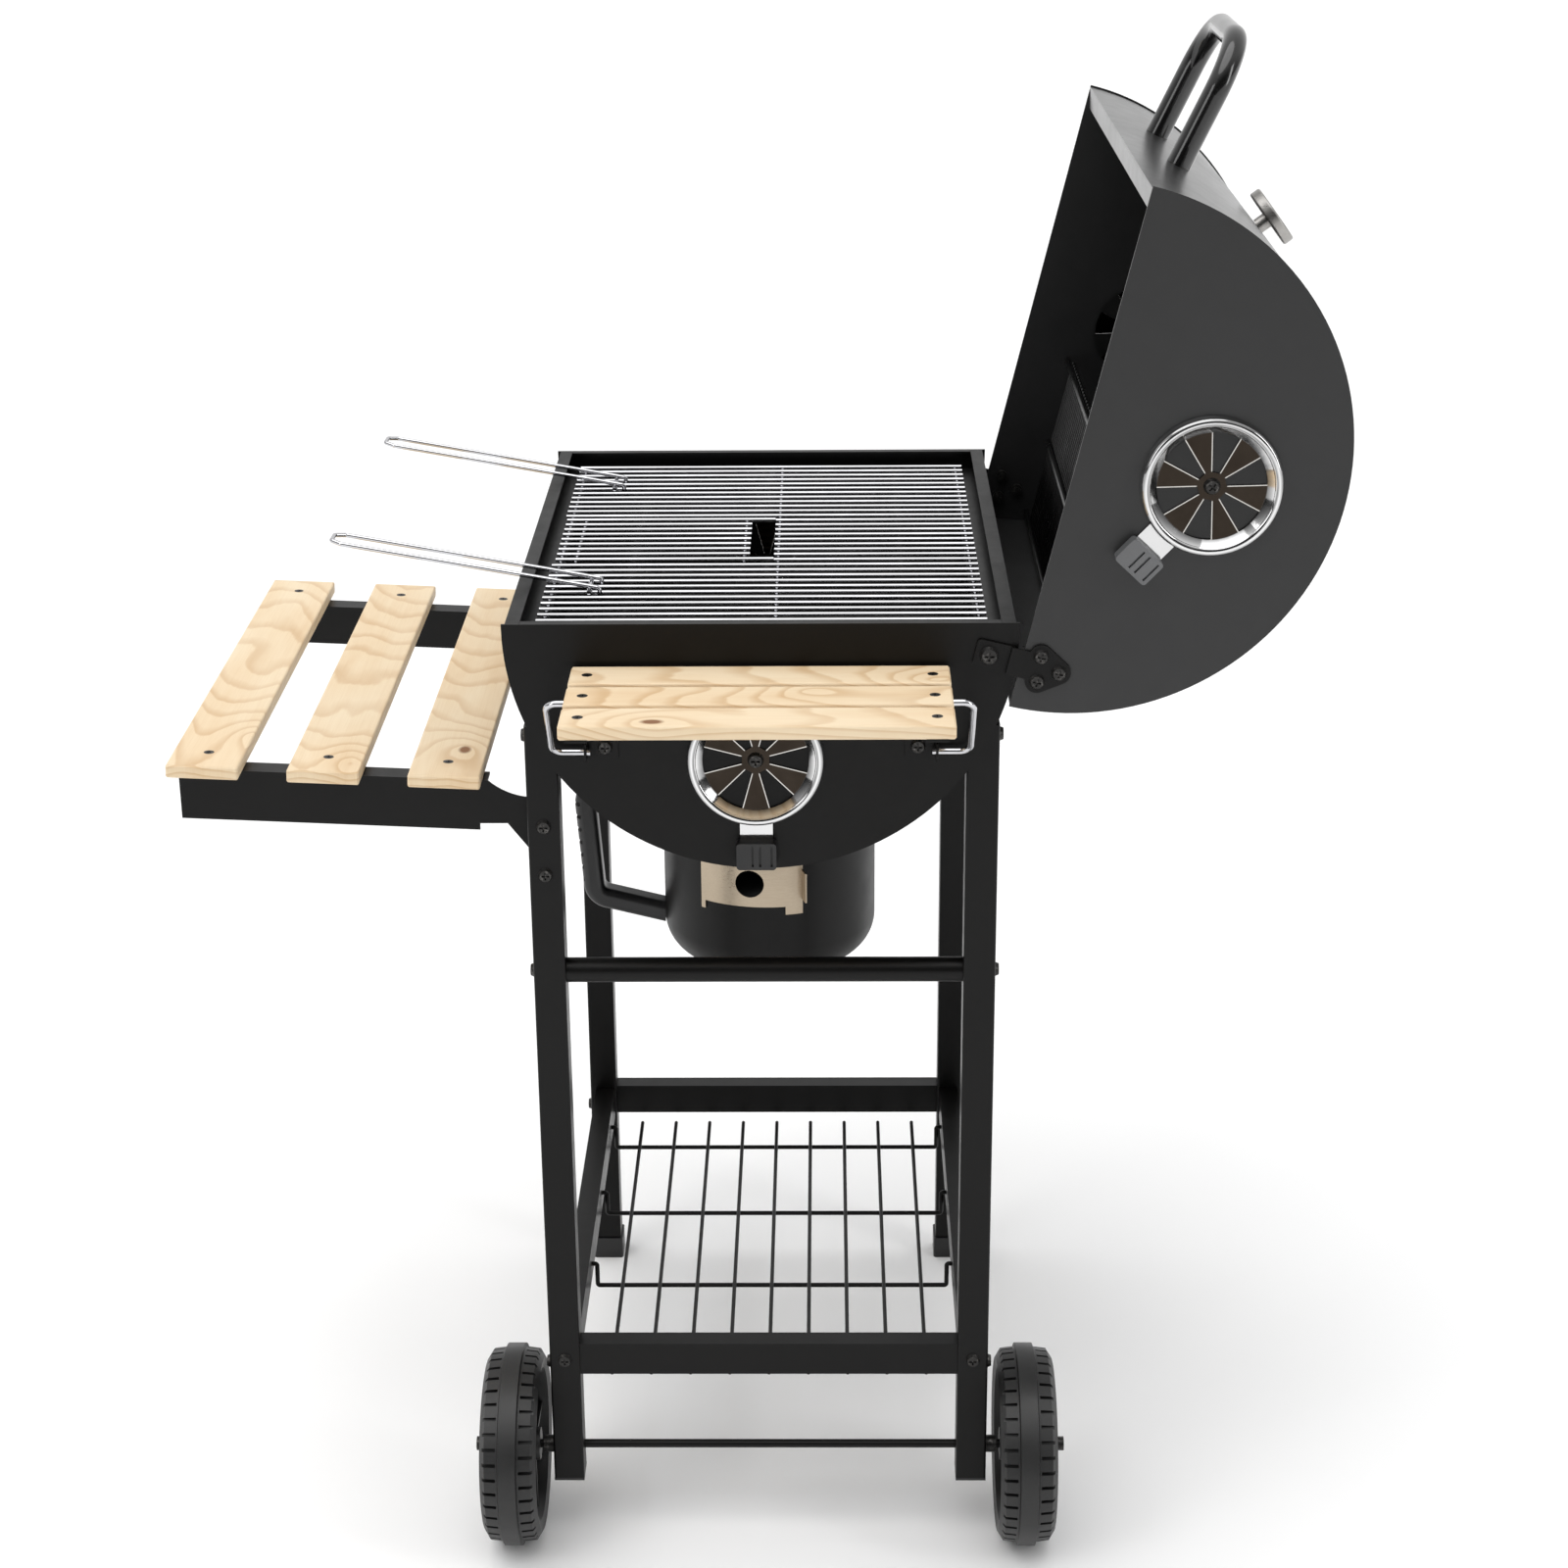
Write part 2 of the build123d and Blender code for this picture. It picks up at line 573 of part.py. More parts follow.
def lid_screws():
    """Screws with nuts that clamp both hinge arms to the lid."""
    screws = []
    for side in (1, -1):
        for y, z in hinge_points():
            face = side * (LID_HALF + ARM_STRAP)
            bolt = fix_bolt((face, y, z), (-side, 0, 0), 10.0)
            nut0, nut1 = sorted((side * LID_INNER, side * (LID_INNER - 4.5)))
            screws.append(bolt + ring_x(nut0, nut1, y, z, 5.5, BOLT_R))
    return screws


def lid_handle():
    """Bent tube handle standing out of the lid on two round feet."""
    foot_y, foot_z = on_lid(HANDLE_ARC, LID_R - 0.2)
    top_y, top_z = on_lid(HANDLE_ARC, LID_R + HANDLE_REACH)
    grip = wire([
        (-HANDLE_HALF, foot_y, foot_z), (-HANDLE_HALF, top_y, top_z),
        (HANDLE_HALF, top_y, top_z), (HANDLE_HALF, foot_y, foot_z),
    ], HANDLE_R, 46.0)
    trim = ring_x(-LID_HALF, LID_HALF, LID_OFFSET_Y, RIM_Z, LID_R)
    return grip - trim


def handle_bolts():
    """Bolts from inside the lid into the two feet of the handle."""
    bolts = []
    for sx in (-1, 1):
        y, z = on_lid(HANDLE_ARC, LID_IN_R - 0.4)
        a = radians(HANDLE_ARC)
        bolts.append(fix_bolt((sx * HANDLE_HALF, y, z), (0, -cos(a), sin(a)), 22.0))
    return bolts


def along_lid(angle, r0, r1, x, radius, inner=0.0):
    """A round piece standing radially on the lid."""
    a = radians(angle)
    y, z = on_lid(angle, r0)
    plane = Plane(origin=(x, y, z), x_dir=(1, 0, 0), z_dir=(0, -cos(a), sin(a)))
    disc = Circle(radius)
    if inner > 0:
        disc = disc - Circle(inner)
    return extrude(plane * disc, r1 - r0)


THERMO_STEM_R = 3.0
THERMO_BACK = LID_R + 10.0
THERMO_FACE = THERMO_BACK + 10.0


def thermometer_case():
    """Cup-shaped stainless case with a rolled bezel."""
    cup = along_lid(THERMO_ARC, THERMO_BACK, THERMO_FACE, 0, THERMO_R)
    cup = fillet(cup.edges(), 2.0)
    return cup - along_lid(THERMO_ARC, THERMO_FACE - 3.0, THERMO_FACE + 1, 0, THERMO_R - 3.0)


def thermometer_needle():
    """Thin pointer with its hub, lying over the dial."""
    a = radians(THERMO_ARC)
    y, z = on_lid(THERMO_ARC, THERMO_FACE - 3.0)
    plane = Plane(origin=(0, y, z), x_dir=(1, 0, 0), z_dir=(0, -cos(a), sin(a)))
    blade = Pos(-3.0, 4.0) * Rot(0, 0, 35) * Rectangle(1.4, 24.0)
    return extrude(plane * (blade + Circle(2.6)), 0.8)


def thermometer_stem():
    """Probe through the lid with its clamping nut and spacer."""
    probe = along_lid(THERMO_ARC, LID_R - 45.0, THERMO_BACK, 0, THERMO_STEM_R)
    spacer = along_lid(THERMO_ARC, LID_R + 0.3, THERMO_BACK, 0, 7.0)
    nut = along_lid(THERMO_ARC, LID_IN_R - 7.0, LID_IN_R - 1.2, 0, 7.0)
    return probe + spacer + nut


def warming_rack():
    """Chrome rack across the rear of the lid, its rods ending at the end plates."""
    back_y = LID_OFFSET_Y + sqrt(LID_IN_R ** 2 - (RACK_Z - RIM_Z) ** 2) - 9.0
    reach = LID_INNER - 0.1
    shape = None
    for y in (RACK_FRONT_Y, (RACK_FRONT_Y + back_y) / 2, back_y):
        end = reach if y != (RACK_FRONT_Y + back_y) / 2 else reach - 20.0
        bar = rod((-end, y, RACK_Z), (end, y, RACK_Z), 2.5)
        shape = bar if shape is None else shape + bar
    top = RACK_Z + 2.5 + 1.5 - WIRE_SINK
    middle_index = (RACK_WIRES - 1) / 2
    for k in range(RACK_WIRES):
        x = (k - middle_index) * RACK_PITCH
        shape = shape + rod((x, RACK_FRONT_Y - 5, top), (x, back_y + 3, top), 1.5)
    return shape


handle_bolt_set = handle_bolts()
lid_bolt_set = lid_screws()
cover = lid_shell()
for bolt in handle_bolt_set:
    cover = cover - bolt
cover = cover - along_lid(THERMO_ARC, LID_R - 12, LID_R + 8, 0, THERMO_STEM_R + TOUCH)
add("lid_shell", lid_closed_to_open(cover), "lid")
hinge_arms = []
for tag, side in (("right", 1), ("left", -1)):
    plate, arm = lid_end(side), hinge_arm(side)
    for bolt in lid_bolt_set:
        plate = plate - bolt
        arm = arm - bolt
    add("lid_end_" + tag, lid_closed_to_open(plate), "lid")
    hinge_arms.append(lid_closed_to_open(arm))
add("hinge_arms", as_group(hinge_arms), "lid")
grip = lid_handle()
for bolt in handle_bolt_set:
    grip = grip - bolt
add("lid_handle", lid_closed_to_open(grip), "lid")
add("lid_bolts", lid_closed_to_open(as_group(lid_bolt_set + handle_bolt_set)), "lid")
add("thermometer_case", lid_closed_to_open(thermometer_case()), "lid")
add("thermometer_needle", lid_closed_to_open(thermometer_needle()), "lid")
add("thermometer_stem", lid_closed_to_open(thermometer_stem()), "lid")
add("warming_rack", lid_closed_to_open(warming_rack()), "lid")


# ---- trolley ------------------------------------------------------------------------
LEG_TOP_Z = RIM_Z - LEG_TOP_DROP
FOOT_T = 3.0
RAIL_Z = RAIL_BOTTOM + RAIL_H / 2
LEG_IN_Y = LEG_Y - LEG / 2
LEG_IN_X = LEG_X - LEG / 2
LEG_OUT_X = LEG_X + LEG / 2
ARM_TOP_Z = RIM_Z - ARM_TOP_DROP
ARM_BOLT_Z = (ARM_TOP_Z - 44.0, ARM_TOP_Z - 89.0)


def square_tube(x, y, z0, z1):
    """One upright square tube."""
    half = LEG / 2
    inside = half - LEG_WALL
    outer = box(x - half, x + half, y - half, y + half, z0, z1)
    outer = fillet(outer.edges().filter_by(Axis.Z), 2.0)
    return outer - box(x - inside, x + inside, y - inside, y + inside, z0 - 1, z1 + 1)


def leg(sx, sy, bottom):
    """A leg whose top follows the curve of the trough."""
    tube = square_tube(sx * LEG_X, sy * LEG_Y, bottom, LEG_TOP_Z)
    return tube - ring_x(-HALF, HALF, 0, BOX_CZ, BOX_R + 0.1)


def frame_screws():
    """Screws that hold the rails to the legs, one group of separate solids."""
    screws = []
    for sx in (-1, 1):
        for sy in (-1, 1):
            for z in (RAIL_Z,) + (ARM_BOLT_Z if sy < 0 else ()):
                screws.append(fix_bolt((sx * LEG_OUT_X, sy * LEG_Y, z), (-sx, 0, 0), 33.0))
            levels = (RAIL_Z - 9.0, CROSS_Z) if sx > 0 else (RAIL_Z - 9.0,)
            for z in levels:
                screws.append(fix_bolt((sx * LEG_X, sy * LEG_OUT_Y, z), (0, -sy, 0), 33.0))
    return screws


screws = frame_screws()


def near_screws(shape):
    """Cut the frame screws that reach into a piece."""
    limits = shape.bounding_box()
    for item in screws + leg_bolts:
        other = item.bounding_box()
        apart = (other.min.X > limits.max.X or other.max.X < limits.min.X
                 or other.min.Y > limits.max.Y or other.max.Y < limits.min.Y
                 or other.min.Z > limits.max.Z or other.max.Z < limits.min.Z)
        if not apart:
            shape = shape - item
    return shape


axle_cut = ring_y(-LEG_OUT_Y - 5, LEG_OUT_Y + 5, LEG_X, WHEEL_R, AXLE_R + TOUCH)
for tag, sx, sy in (("front_right", 1, -1), ("back_right", 1, 1),
                    ("front_left", -1, -1), ("back_left", -1, 1)):
    bottom = WHEEL_LEG_GAP if sx > 0 else FOOT_T
    tube = near_screws(leg(sx, sy, bottom))
    if sx > 0:
        tube = tube - axle_cut
    add("leg_" + tag, tube)


def hollow_rail(x0, x1, y0, y1, along):
    """A lower-frame rail: rectangular tube along X or Y."""
    outer = box(x0, x1, y0, y1, RAIL_BOTTOM, RAIL_BOTTOM + RAIL_H)
    w = LEG_WALL
    if along == "X":
        return outer - box(x0 - 1, x1 + 1, y0 + w, y1 - w, RAIL_BOTTOM + w, RAIL_BOTTOM + RAIL_H - w)
    return outer - box(x0 + w, x1 - w, y0 - 1, y1 + 1, RAIL_BOTTOM + w, RAIL_BOTTOM + RAIL_H - w)


RAIL_X0 = LEG_OUT_X - RAIL_T - 2.0
end_rails, side_rails = [], []
for side in (1, -1):
    x0, x1 = sorted((side * RAIL_X0, side * (RAIL_X0 + RAIL_T)))
    end_rails.append(near_screws(hollow_rail(x0, x1, -LEG_IN_Y, LEG_IN_Y, "Y")))
    y0, y1 = sorted((side * (LEG_IN_Y + 2.0), side * (LEG_IN_Y + 2.0 + RAIL_T)))
    side_rails.append(near_screws(hollow_rail(-LEG_IN_X, LEG_IN_X, y0, y1, "X")))
add("lower_end_rails", as_group(end_rails))
add("lower_side_rails", as_group(side_rails))
cross = ring_y(-LEG_IN_Y, LEG_IN_Y, LEG_X, CROSS_Z, CROSS_R, CROSS_R - 1.5)
add("upper_crossbar", near_screws(cross))


def foot_cap(sy):
    """Plastic cap on a leg without a wheel."""
    half = LEG / 2
    reach = half + 2.0
    outer = box(-LEG_X - reach, -LEG_X + reach, sy * LEG_Y - reach, sy * LEG_Y + reach, 0, 24)
    outer = fillet(outer.edges().filter_by(Axis.Z), 3.0)
    hole = box(-LEG_X - half, -LEG_X + half, sy * LEG_Y - half, sy * LEG_Y + half, FOOT_T, 25)
    return outer - fillet(hole.edges().filter_by(Axis.Z), 2.0)


def leg_plug(sy):
    """Plastic plug in the open end of a wheeled leg."""
    half = LEG / 2
    inside = half - LEG_WALL
    flat = box(LEG_X - half, LEG_X + half, sy * LEG_Y - half, sy * LEG_Y + half,
               WHEEL_LEG_GAP - 2.5, WHEEL_LEG_GAP)
    return flat + box(LEG_X - inside, LEG_X + inside, sy * LEG_Y - inside, sy * LEG_Y + inside,
                      WHEEL_LEG_GAP, WHEEL_LEG_GAP + 14)


add("leg_end_caps", as_group([foot_cap(-1), foot_cap(1), leg_plug(-1), leg_plug(1)]))

SHELF_Z = 166.0
SHELF_CROSS = 4
SHELF_CROSS_PITCH = (2 * LEG_IN_X - 63.0) / (SHELF_CROSS - 1)
SHELF_CROSS_X = [LEG_IN_X - 7.0 - k * SHELF_CROSS_PITCH for k in range(SHELF_CROSS)]
SHELF_WIRE_X = (6.0 - LEG_IN_X, LEG_IN_X + 14.0)
SHELF_WIRES = 9
SHELF_PITCH = 2 * (LEG_IN_Y - 28.0) / (SHELF_WIRES - 1)


def wire_shelf():
    """Hanging wire shelf: cross wires hooked into the side rails, long wires on top."""
    hook_y = LEG_IN_Y - 3.0
    rail_in = LEG_IN_Y + 2.0
    shape = None
    for x in SHELF_CROSS_X:
        hanger = wire([
            (x, -rail_in + 0.1, SHELF_Z + 24), (x, -hook_y, SHELF_Z + 24), (x, -hook_y, SHELF_Z),
            (x, hook_y, SHELF_Z), (x, hook_y, SHELF_Z + 24), (x, rail_in - 0.1, SHELF_Z + 24),
        ], 2.2, 2.4)
        shape = hanger if shape is None else shape + hanger
    middle_index = (SHELF_WIRES - 1) / 2
    for k in range(SHELF_WIRES):
        y = (k - middle_index) * SHELF_PITCH
        z = SHELF_Z + 2.2 + 1.9 - WIRE_SINK
        shape = shape + rod((SHELF_WIRE_X[0], y, z), (SHELF_WIRE_X[1], y, z), 1.9)
    return shape


add("wire_shelf", wire_shelf())

# ---- axle and wheels ------------------------------------------------------------------
WHEEL_IN_Y = WHEEL_Y - WHEEL_W / 2
WHEEL_OUT_Y = WHEEL_Y + WHEEL_W / 2
AXLE_END_Y = WHEEL_OUT_Y + 11.0


def axle_fittings():
    """Spacer tubes beside the legs and cap nuts at the axle's ends."""
    pieces = []
    for sy in (-1, 1):
        s0, s1 = sorted((sy * (LEG_OUT_Y + 0.1), sy * (WHEEL_IN_Y - GAP)))
        pieces.append(ring_y(s0, s1, LEG_X, WHEEL_R, AXLE_R + 4.0, AXLE_R + TOUCH))
        n0, n1 = sorted((sy * (WHEEL_OUT_Y + GAP), sy * AXLE_END_Y))
        washer1 = sy * (WHEEL_OUT_Y + GAP + 1.5)
        w0, w1 = sorted((sy * (WHEEL_OUT_Y + GAP), washer1))
        nut = ring_y(n0, n1, LEG_X, WHEEL_R, 6.5) + ring_y(w0, w1, LEG_X, WHEEL_R, 10.0)
        inner = sy * (AXLE_END_Y - 3.0)
        c0, c1 = sorted((sy * WHEEL_OUT_Y, inner))
        pieces.append(nut - ring_y(c0, c1, LEG_X, WHEEL_R, AXLE_R))
    return pieces


def wheel(sy):
    """Moulded wheel: ribbed tread with a raised middle band, dished web, hub."""
    half = WHEEL_W / 2
    outline = [
        (AXLE_R + 0.08, -half + 3), (15.0, -half + 3), (17.0, -6.0), (WHEEL_R - 27, -5.0),
        (WHEEL_R - 23, -half + 2), (WHEEL_R - 13, -half), (WHEEL_R - 5, -half + 5),
        (WHEEL_R - 3.5, -9.0), (WHEEL_R, -8.0), (WHEEL_R, 8.0), (WHEEL_R - 3.5, 9.0),
        (WHEEL_R - 5, half - 5), (WHEEL_R - 13, half), (WHEEL_R - 23, half - 2),
        (WHEEL_R - 27, 5.0), (17.0, 6.0), (15.0, half), (AXLE_R + 0.08, half),
    ]
    face = make_face(Polyline(*[(r, 0, y) for r, y in outline], close=True))
    body = revolve(face, axis=Axis.Z)
    spokes = 8
    for k in range(spokes):
        rib = box(14.0, WHEEL_R - 21, -2.0, 2.0, -half + 8, half - 8)
        body = body + Rot(0, 0, 360.0 / spokes * k) * rib
    blocks = 40
    cutters = []
    for k in range(blocks):
        for part in (-1, 1):
            z0, z1 = sorted((part * 10.5, part * (half + 1)))
            notch = box(WHEEL_R - 8.5, WHEEL_R + 2, -1.6, 1.6, z0, z1)
            cutters.append(Rot(0, 0, 360.0 / blocks * (k + 0.25 * part)) * notch)
    body = body - Compound(children=cutters)
    turned = Rot(-90 if sy > 0 else 90, 0, 0) * body
    return Pos(LEG_X, sy * WHEEL_Y, WHEEL_R) * turned


add("axle", ring_y(-AXLE_END_Y + 3.0, AXLE_END_Y - 3.0, LEG_X, WHEEL_R, AXLE_R))
add("axle_fittings", as_group(axle_fittings()))
add("wheel_front", wheel(-1), "wheel_front")
add("wheel_back", wheel(1), "wheel_back")

# ---- front shelf ----------------------------------------------------------------------
ARM_X = LEG_IN_X - ARM_T             # arms stand against the inner faces of the legs
ARM_END_Y = -(LEG_OUT_Y + ARM_REACH)


def arm_line(y):
    """Height of an arm's top edge, which climbs towards the cook."""
    return ARM_TOP_Z + (ARM_END_Y - y) * tan(radians(FRONT_TILT))


def shelf_arm(side):
    """Sheet-metal arm: sloping top flange, notch, curved neck, plate behind the leg."""
    neck_y, neck_z = -(LEG_OUT_Y + 1.0), ARM_TOP_Z - 28.0
    shoulder, notch = -(LEG_OUT_Y + 36.0), -(LEG_OUT_Y + 44.0)
    tip_z = ARM_TOP_Z - 102.0
    sweep_mid = ((shoulder + neck_y) / 2 + 4.0, (arm_line(shoulder) + neck_z) / 2 - 5.0)
    low = arm_line(ARM_END_Y) - ARM_H
    low_end = arm_line(notch) - ARM_H
    inner_y = -(LEG_IN_Y + 2.0)
    outline = [
        (ARM_END_Y, low), (notch, low_end), (notch, low_end + 6.0), (notch + 24.0, low_end + 6.0),
        (-(LEG_OUT_Y - 3.0), tip_z + 20.0), (-(LEG_OUT_Y - 3.0), tip_z), (inner_y, tip_z),
        (inner_y, neck_z), (neck_y, neck_z),
    ]
    edges = Curve() + [Line(outline[k], outline[k + 1]) for k in range(len(outline) - 1)]
    edges = edges + ThreePointArc(outline[-1], sweep_mid, (shoulder, arm_line(shoulder)))
    edges = edges + Line((shoulder, arm_line(shoulder)), (ARM_END_Y, arm_line(ARM_END_Y)))
    edges = edges + Line((ARM_END_Y, arm_line(ARM_END_Y)), outline[0])
    plane = Plane(origin=(ARM_X, 0, 0), x_dir=(0, 1, 0), z_dir=(1, 0, 0))
    web = extrude(plane * make_face(edges), ARM_T)
    flange = profile_x([
        (ARM_END_Y, arm_line(ARM_END_Y) - ARM_T), (shoulder, arm_line(shoulder) - ARM_T),
        (shoulder, arm_line(shoulder)), (ARM_END_Y, arm_line(ARM_END_Y)),
    ], ARM_X + ARM_T - ARM_FLANGE, ARM_X + ARM_T)
    arm = web + flange
    return arm if side > 0 else mirror(arm, about=Plane.YZ)


WOOD_SCREW_R = 2.0
WOOD_HEAD_R = 4.5


def wood_screw(x, y, z, length, tilt=0.0):
    """Countersunk screw, its flat head level with the wood, and its hole."""
    cone = extrude(Plane(origin=(0, 0, 0), z_dir=(0, 0, -1)) * Circle(WOOD_HEAD_R), 2.6, taper=40)
    hole = cone + ring_z(-length, -0.5, 0, 0, WOOD_SCREW_R)
    top = Plane(origin=(0, 0, -1.0))
    body = hole - extrude(top * (Rectangle(1.0, 5.0) + Rectangle(5.0, 1.0)), 2.0)
    place = Pos(x, y, z) * Rot(tilt, 0, 0)
    return place * body, place * hole


def wood_slat(length_x, width_y, thick):
    """One rounded pine slat, centred, lying on its underside."""
    slat = Pos(0, 0, thick / 2) * Box(length_x, width_y, thick)
    slat = fillet(slat.edges().filter_by(Axis.X if length_x > width_y else Axis.Y), 2.0)
    return chamfer(slat.edges().filter_by(Axis.Z), 1.5)


front_slats, front_screws = [], []
arms = [shelf_arm(1), shelf_arm(-1)]
for k in range(3):
    y = -(LEG_OUT_Y + FRONT_FIRST) - k * (FRONT_SLAT_W + FRONT_SLAT_GAP)
    slat = wood_slat(2 * (LEG_X + FRONT_OVERHANG), FRONT_SLAT_W, SLAT_T)
    slat = Pos(0, y, arm_line(y)) * Rot(-FRONT_TILT, 0, 0) * slat
    for sx in (-1, 1):
        x = sx * (ARM_X + ARM_T - ARM_FLANGE / 2)
        top = arm_line(y) + SLAT_T * cos(radians(FRONT_TILT))
        at_y = y + SLAT_T * sin(radians(FRONT_TILT))
        item, hole = wood_screw(x, at_y, top, SLAT_T + 6.0, -FRONT_TILT)
        slat = slat - hole
        arms = [arm - hole for arm in arms]
        front_screws.append(item)
    front_slats.append(slat)
add("front_shelf_arms", as_group([near_screws(arm) for arm in arms]))
for tag, slat in zip(("inner", "middle", "outer"), front_slats):
    add("front_slat_" + tag, slat)
add("front_shelf_screws", as_group(front_screws))

# ---- side shelf -----------------------------------------------------------------------
SIDE_TOP_Z = RIM_Z - SIDE_TOP_DROP
SIDE_X0 = HALF + 5.0
STRAP_T = 2.0
STRAP_W = 18.0
SIDE_HALF_Y = BOX_R - SIDE_INSET     # half the length of a side slat
SIDE_PITCH = SIDE_SLAT_W + SIDE_SLAT_GAP
STRAP_Y = SIDE_HALF_Y - 14.5
EAR_Y = SIDE_HALF_Y - 8.5
SIDE_WIRE_X = HALF + 51.0
SIDE_WIRE_Z = SIDE_TOP_Z - SLAT_T - STRAP_T - SIDE_WIRE_R
SIDE_WIRE_Y = SIDE_HALF_Y + 18.5
SIDE_PIVOT = (HALF + SIDE_PIVOT_OUT, RIM_Z - SIDE_PIVOT_DROP)
SIDE_BODY = "side_shelf"


def side_wire():
    """C-shaped wire on each side, joined under the slats, its ends turning in the ears."""
    px, pz = SIDE_PIVOT
    return wire([
        (px, -EAR_Y + 5.0, pz), (px, -SIDE_WIRE_Y, pz), (SIDE_WIRE_X, -SIDE_WIRE_Y, SIDE_WIRE_Z),
        (SIDE_WIRE_X, SIDE_WIRE_Y, SIDE_WIRE_Z), (px, SIDE_WIRE_Y, pz), (px, EAR_Y - 5.0, pz),
    ], SIDE_WIRE_R, 9.0)


def side_ear(sy):
    """Eared bracket on the firebox end plate that holds one end of the shelf wire."""
    px, pz = SIDE_PIVOT
    y0, y1 = sorted((sy * (EAR_Y - STRAP_T), sy * EAR_Y))
    ear = box(HALF + 0.1, px + 6.0, y0, y1, pz - 8, pz + 8)
    ear = fillet(ear.edges().filter_by(Axis.Y).group_by(Axis.X)[-1], 5.0)
    b0, b1 = sorted((sy * (EAR_Y - 28.0), sy * EAR_Y))
    base = box(HALF + 0.1, HALF + 0.1 + STRAP_T, b0, b1, pz - 8, pz + 12)
    hole0, hole1 = sorted((sy * (EAR_Y - 4.0), sy * (EAR_Y + 2.0)))
    return ear + base - ring_y(hole0, hole1, px, pz, SIDE_WIRE_R + 0.08)


side_slats, side_screws = [], []
straps = []
for sy in (-1, 1):
    y0, y1 = sorted((sy * (STRAP_Y - STRAP_W / 2), sy * (STRAP_Y + STRAP_W / 2)))
    z1 = SIDE_TOP_Z - SLAT_T
    end_x = SIDE_X0 + 2 * SIDE_PITCH + SIDE_SLAT_W
    straps.append(box(HALF + GAP + 1, end_x, y0, y1, z1 - STRAP_T, z1))
for k in range(3):
    x = SIDE_X0 + SIDE_SLAT_W / 2 + k * SIDE_PITCH
    slat = Pos(x, 0, SIDE_TOP_Z - SLAT_T) * wood_slat(SIDE_SLAT_W, 2 * SIDE_HALF_Y, SLAT_T)
    for sy in (-1, 1):
        item, hole = wood_screw(x, sy * STRAP_Y, SIDE_TOP_Z, SLAT_T + 5.0)
        slat = slat - hole
        straps = [strap - hole for strap in straps]
        side_screws.append(item)
    side_slats.append(slat)
add("side_shelf_wire", side_wire(), SIDE_BODY)
add("side_shelf_straps", as_group(straps), SIDE_BODY)
add("side_slats", as_group(side_slats), SIDE_BODY)
add("side_shelf_screws", as_group(side_screws), SIDE_BODY)
ear_bolts = []
ears = []
for sy in (-1, 1):
    bolt = fix_bolt((HALF + 0.1 + STRAP_T, sy * (EAR_Y - 17.0), SIDE_PIVOT[1] + 2.0), (-1, 0, 0), 11.0)
    ear_bolts.append(bolt)
    ears.append(side_ear(sy) - bolt)
    nodes["firebox_end_right"] = nodes["firebox_end_right"] - bolt
add("side_shelf_ears", as_group(ears))
add("frame_bolts", as_group(leg_bolts + screws + ear_bolts))

# ---- ash pot --------------------------------------------------------------------------
POT_TOP_Z = BOX_CZ - BOX_R - 12.0
POT_IN_R = POT_R - POT_WALL
POT_BODY = "ash_pot"
AIR_HOLE_Z = POT_BOTTOM_Z + 105.0
AIR_HOLE_R = 14.0
DAMPER_AT = -9.5                     # air hole and damper, degrees round from +X
DAMPER_Z = (POT_BOTTOM_Z + 74.0, POT_BOTTOM_Z + 142.0)
DAMPER_HALF = 28.0
DAMPER_TURN = 22.0


def pot_shell():
    """Deep round pot with a large corner radius, a rolled rim and an air hole."""
    corner_r = POT_R - POT_CORNER
    corner_z = POT_BOTTOM_Z + POT_CORNER
    slope = sqrt(0.5)
    bead = POT_TOP_Z - 4.0
    inner_r = POT_CORNER - POT_WALL

    def on_corner(radius):
        """Middle of a corner arc."""
        return corner_r + radius * slope, corner_z - radius * slope

    edges = Line((0, POT_BOTTOM_Z), (corner_r, POT_BOTTOM_Z))
    edges = edges + ThreePointArc((corner_r, POT_BOTTOM_Z), on_corner(POT_CORNER), (POT_R, corner_z))
    edges = edges + Line((POT_R, corner_z), (POT_R, bead))
    edges = edges + ThreePointArc((POT_R, bead), (POT_R + 2.2, (bead + POT_TOP_Z) / 2), (POT_R, POT_TOP_Z))
    edges = edges + Line((POT_R, POT_TOP_Z), (POT_IN_R, POT_TOP_Z))
    edges = edges + Line((POT_IN_R, POT_TOP_Z), (POT_IN_R, corner_z))
    edges = edges + ThreePointArc((POT_IN_R, corner_z), on_corner(inner_r),
                                  (corner_r, POT_BOTTOM_Z + POT_WALL))
    edges = edges + Line((corner_r, POT_BOTTOM_Z + POT_WALL), (0, POT_BOTTOM_Z + POT_WALL))
    edges = edges + Line((0, POT_BOTTOM_Z + POT_WALL), (0, POT_BOTTOM_Z))
    pot = revolve(Plane.XZ * make_face(edges), axis=Axis.Z)
    hole = ring_x(0, POT_R + 10, 0, AIR_HOLE_Z, AIR_HOLE_R)
    return pot - hole.rotate(Axis.Z, DAMPER_AT)


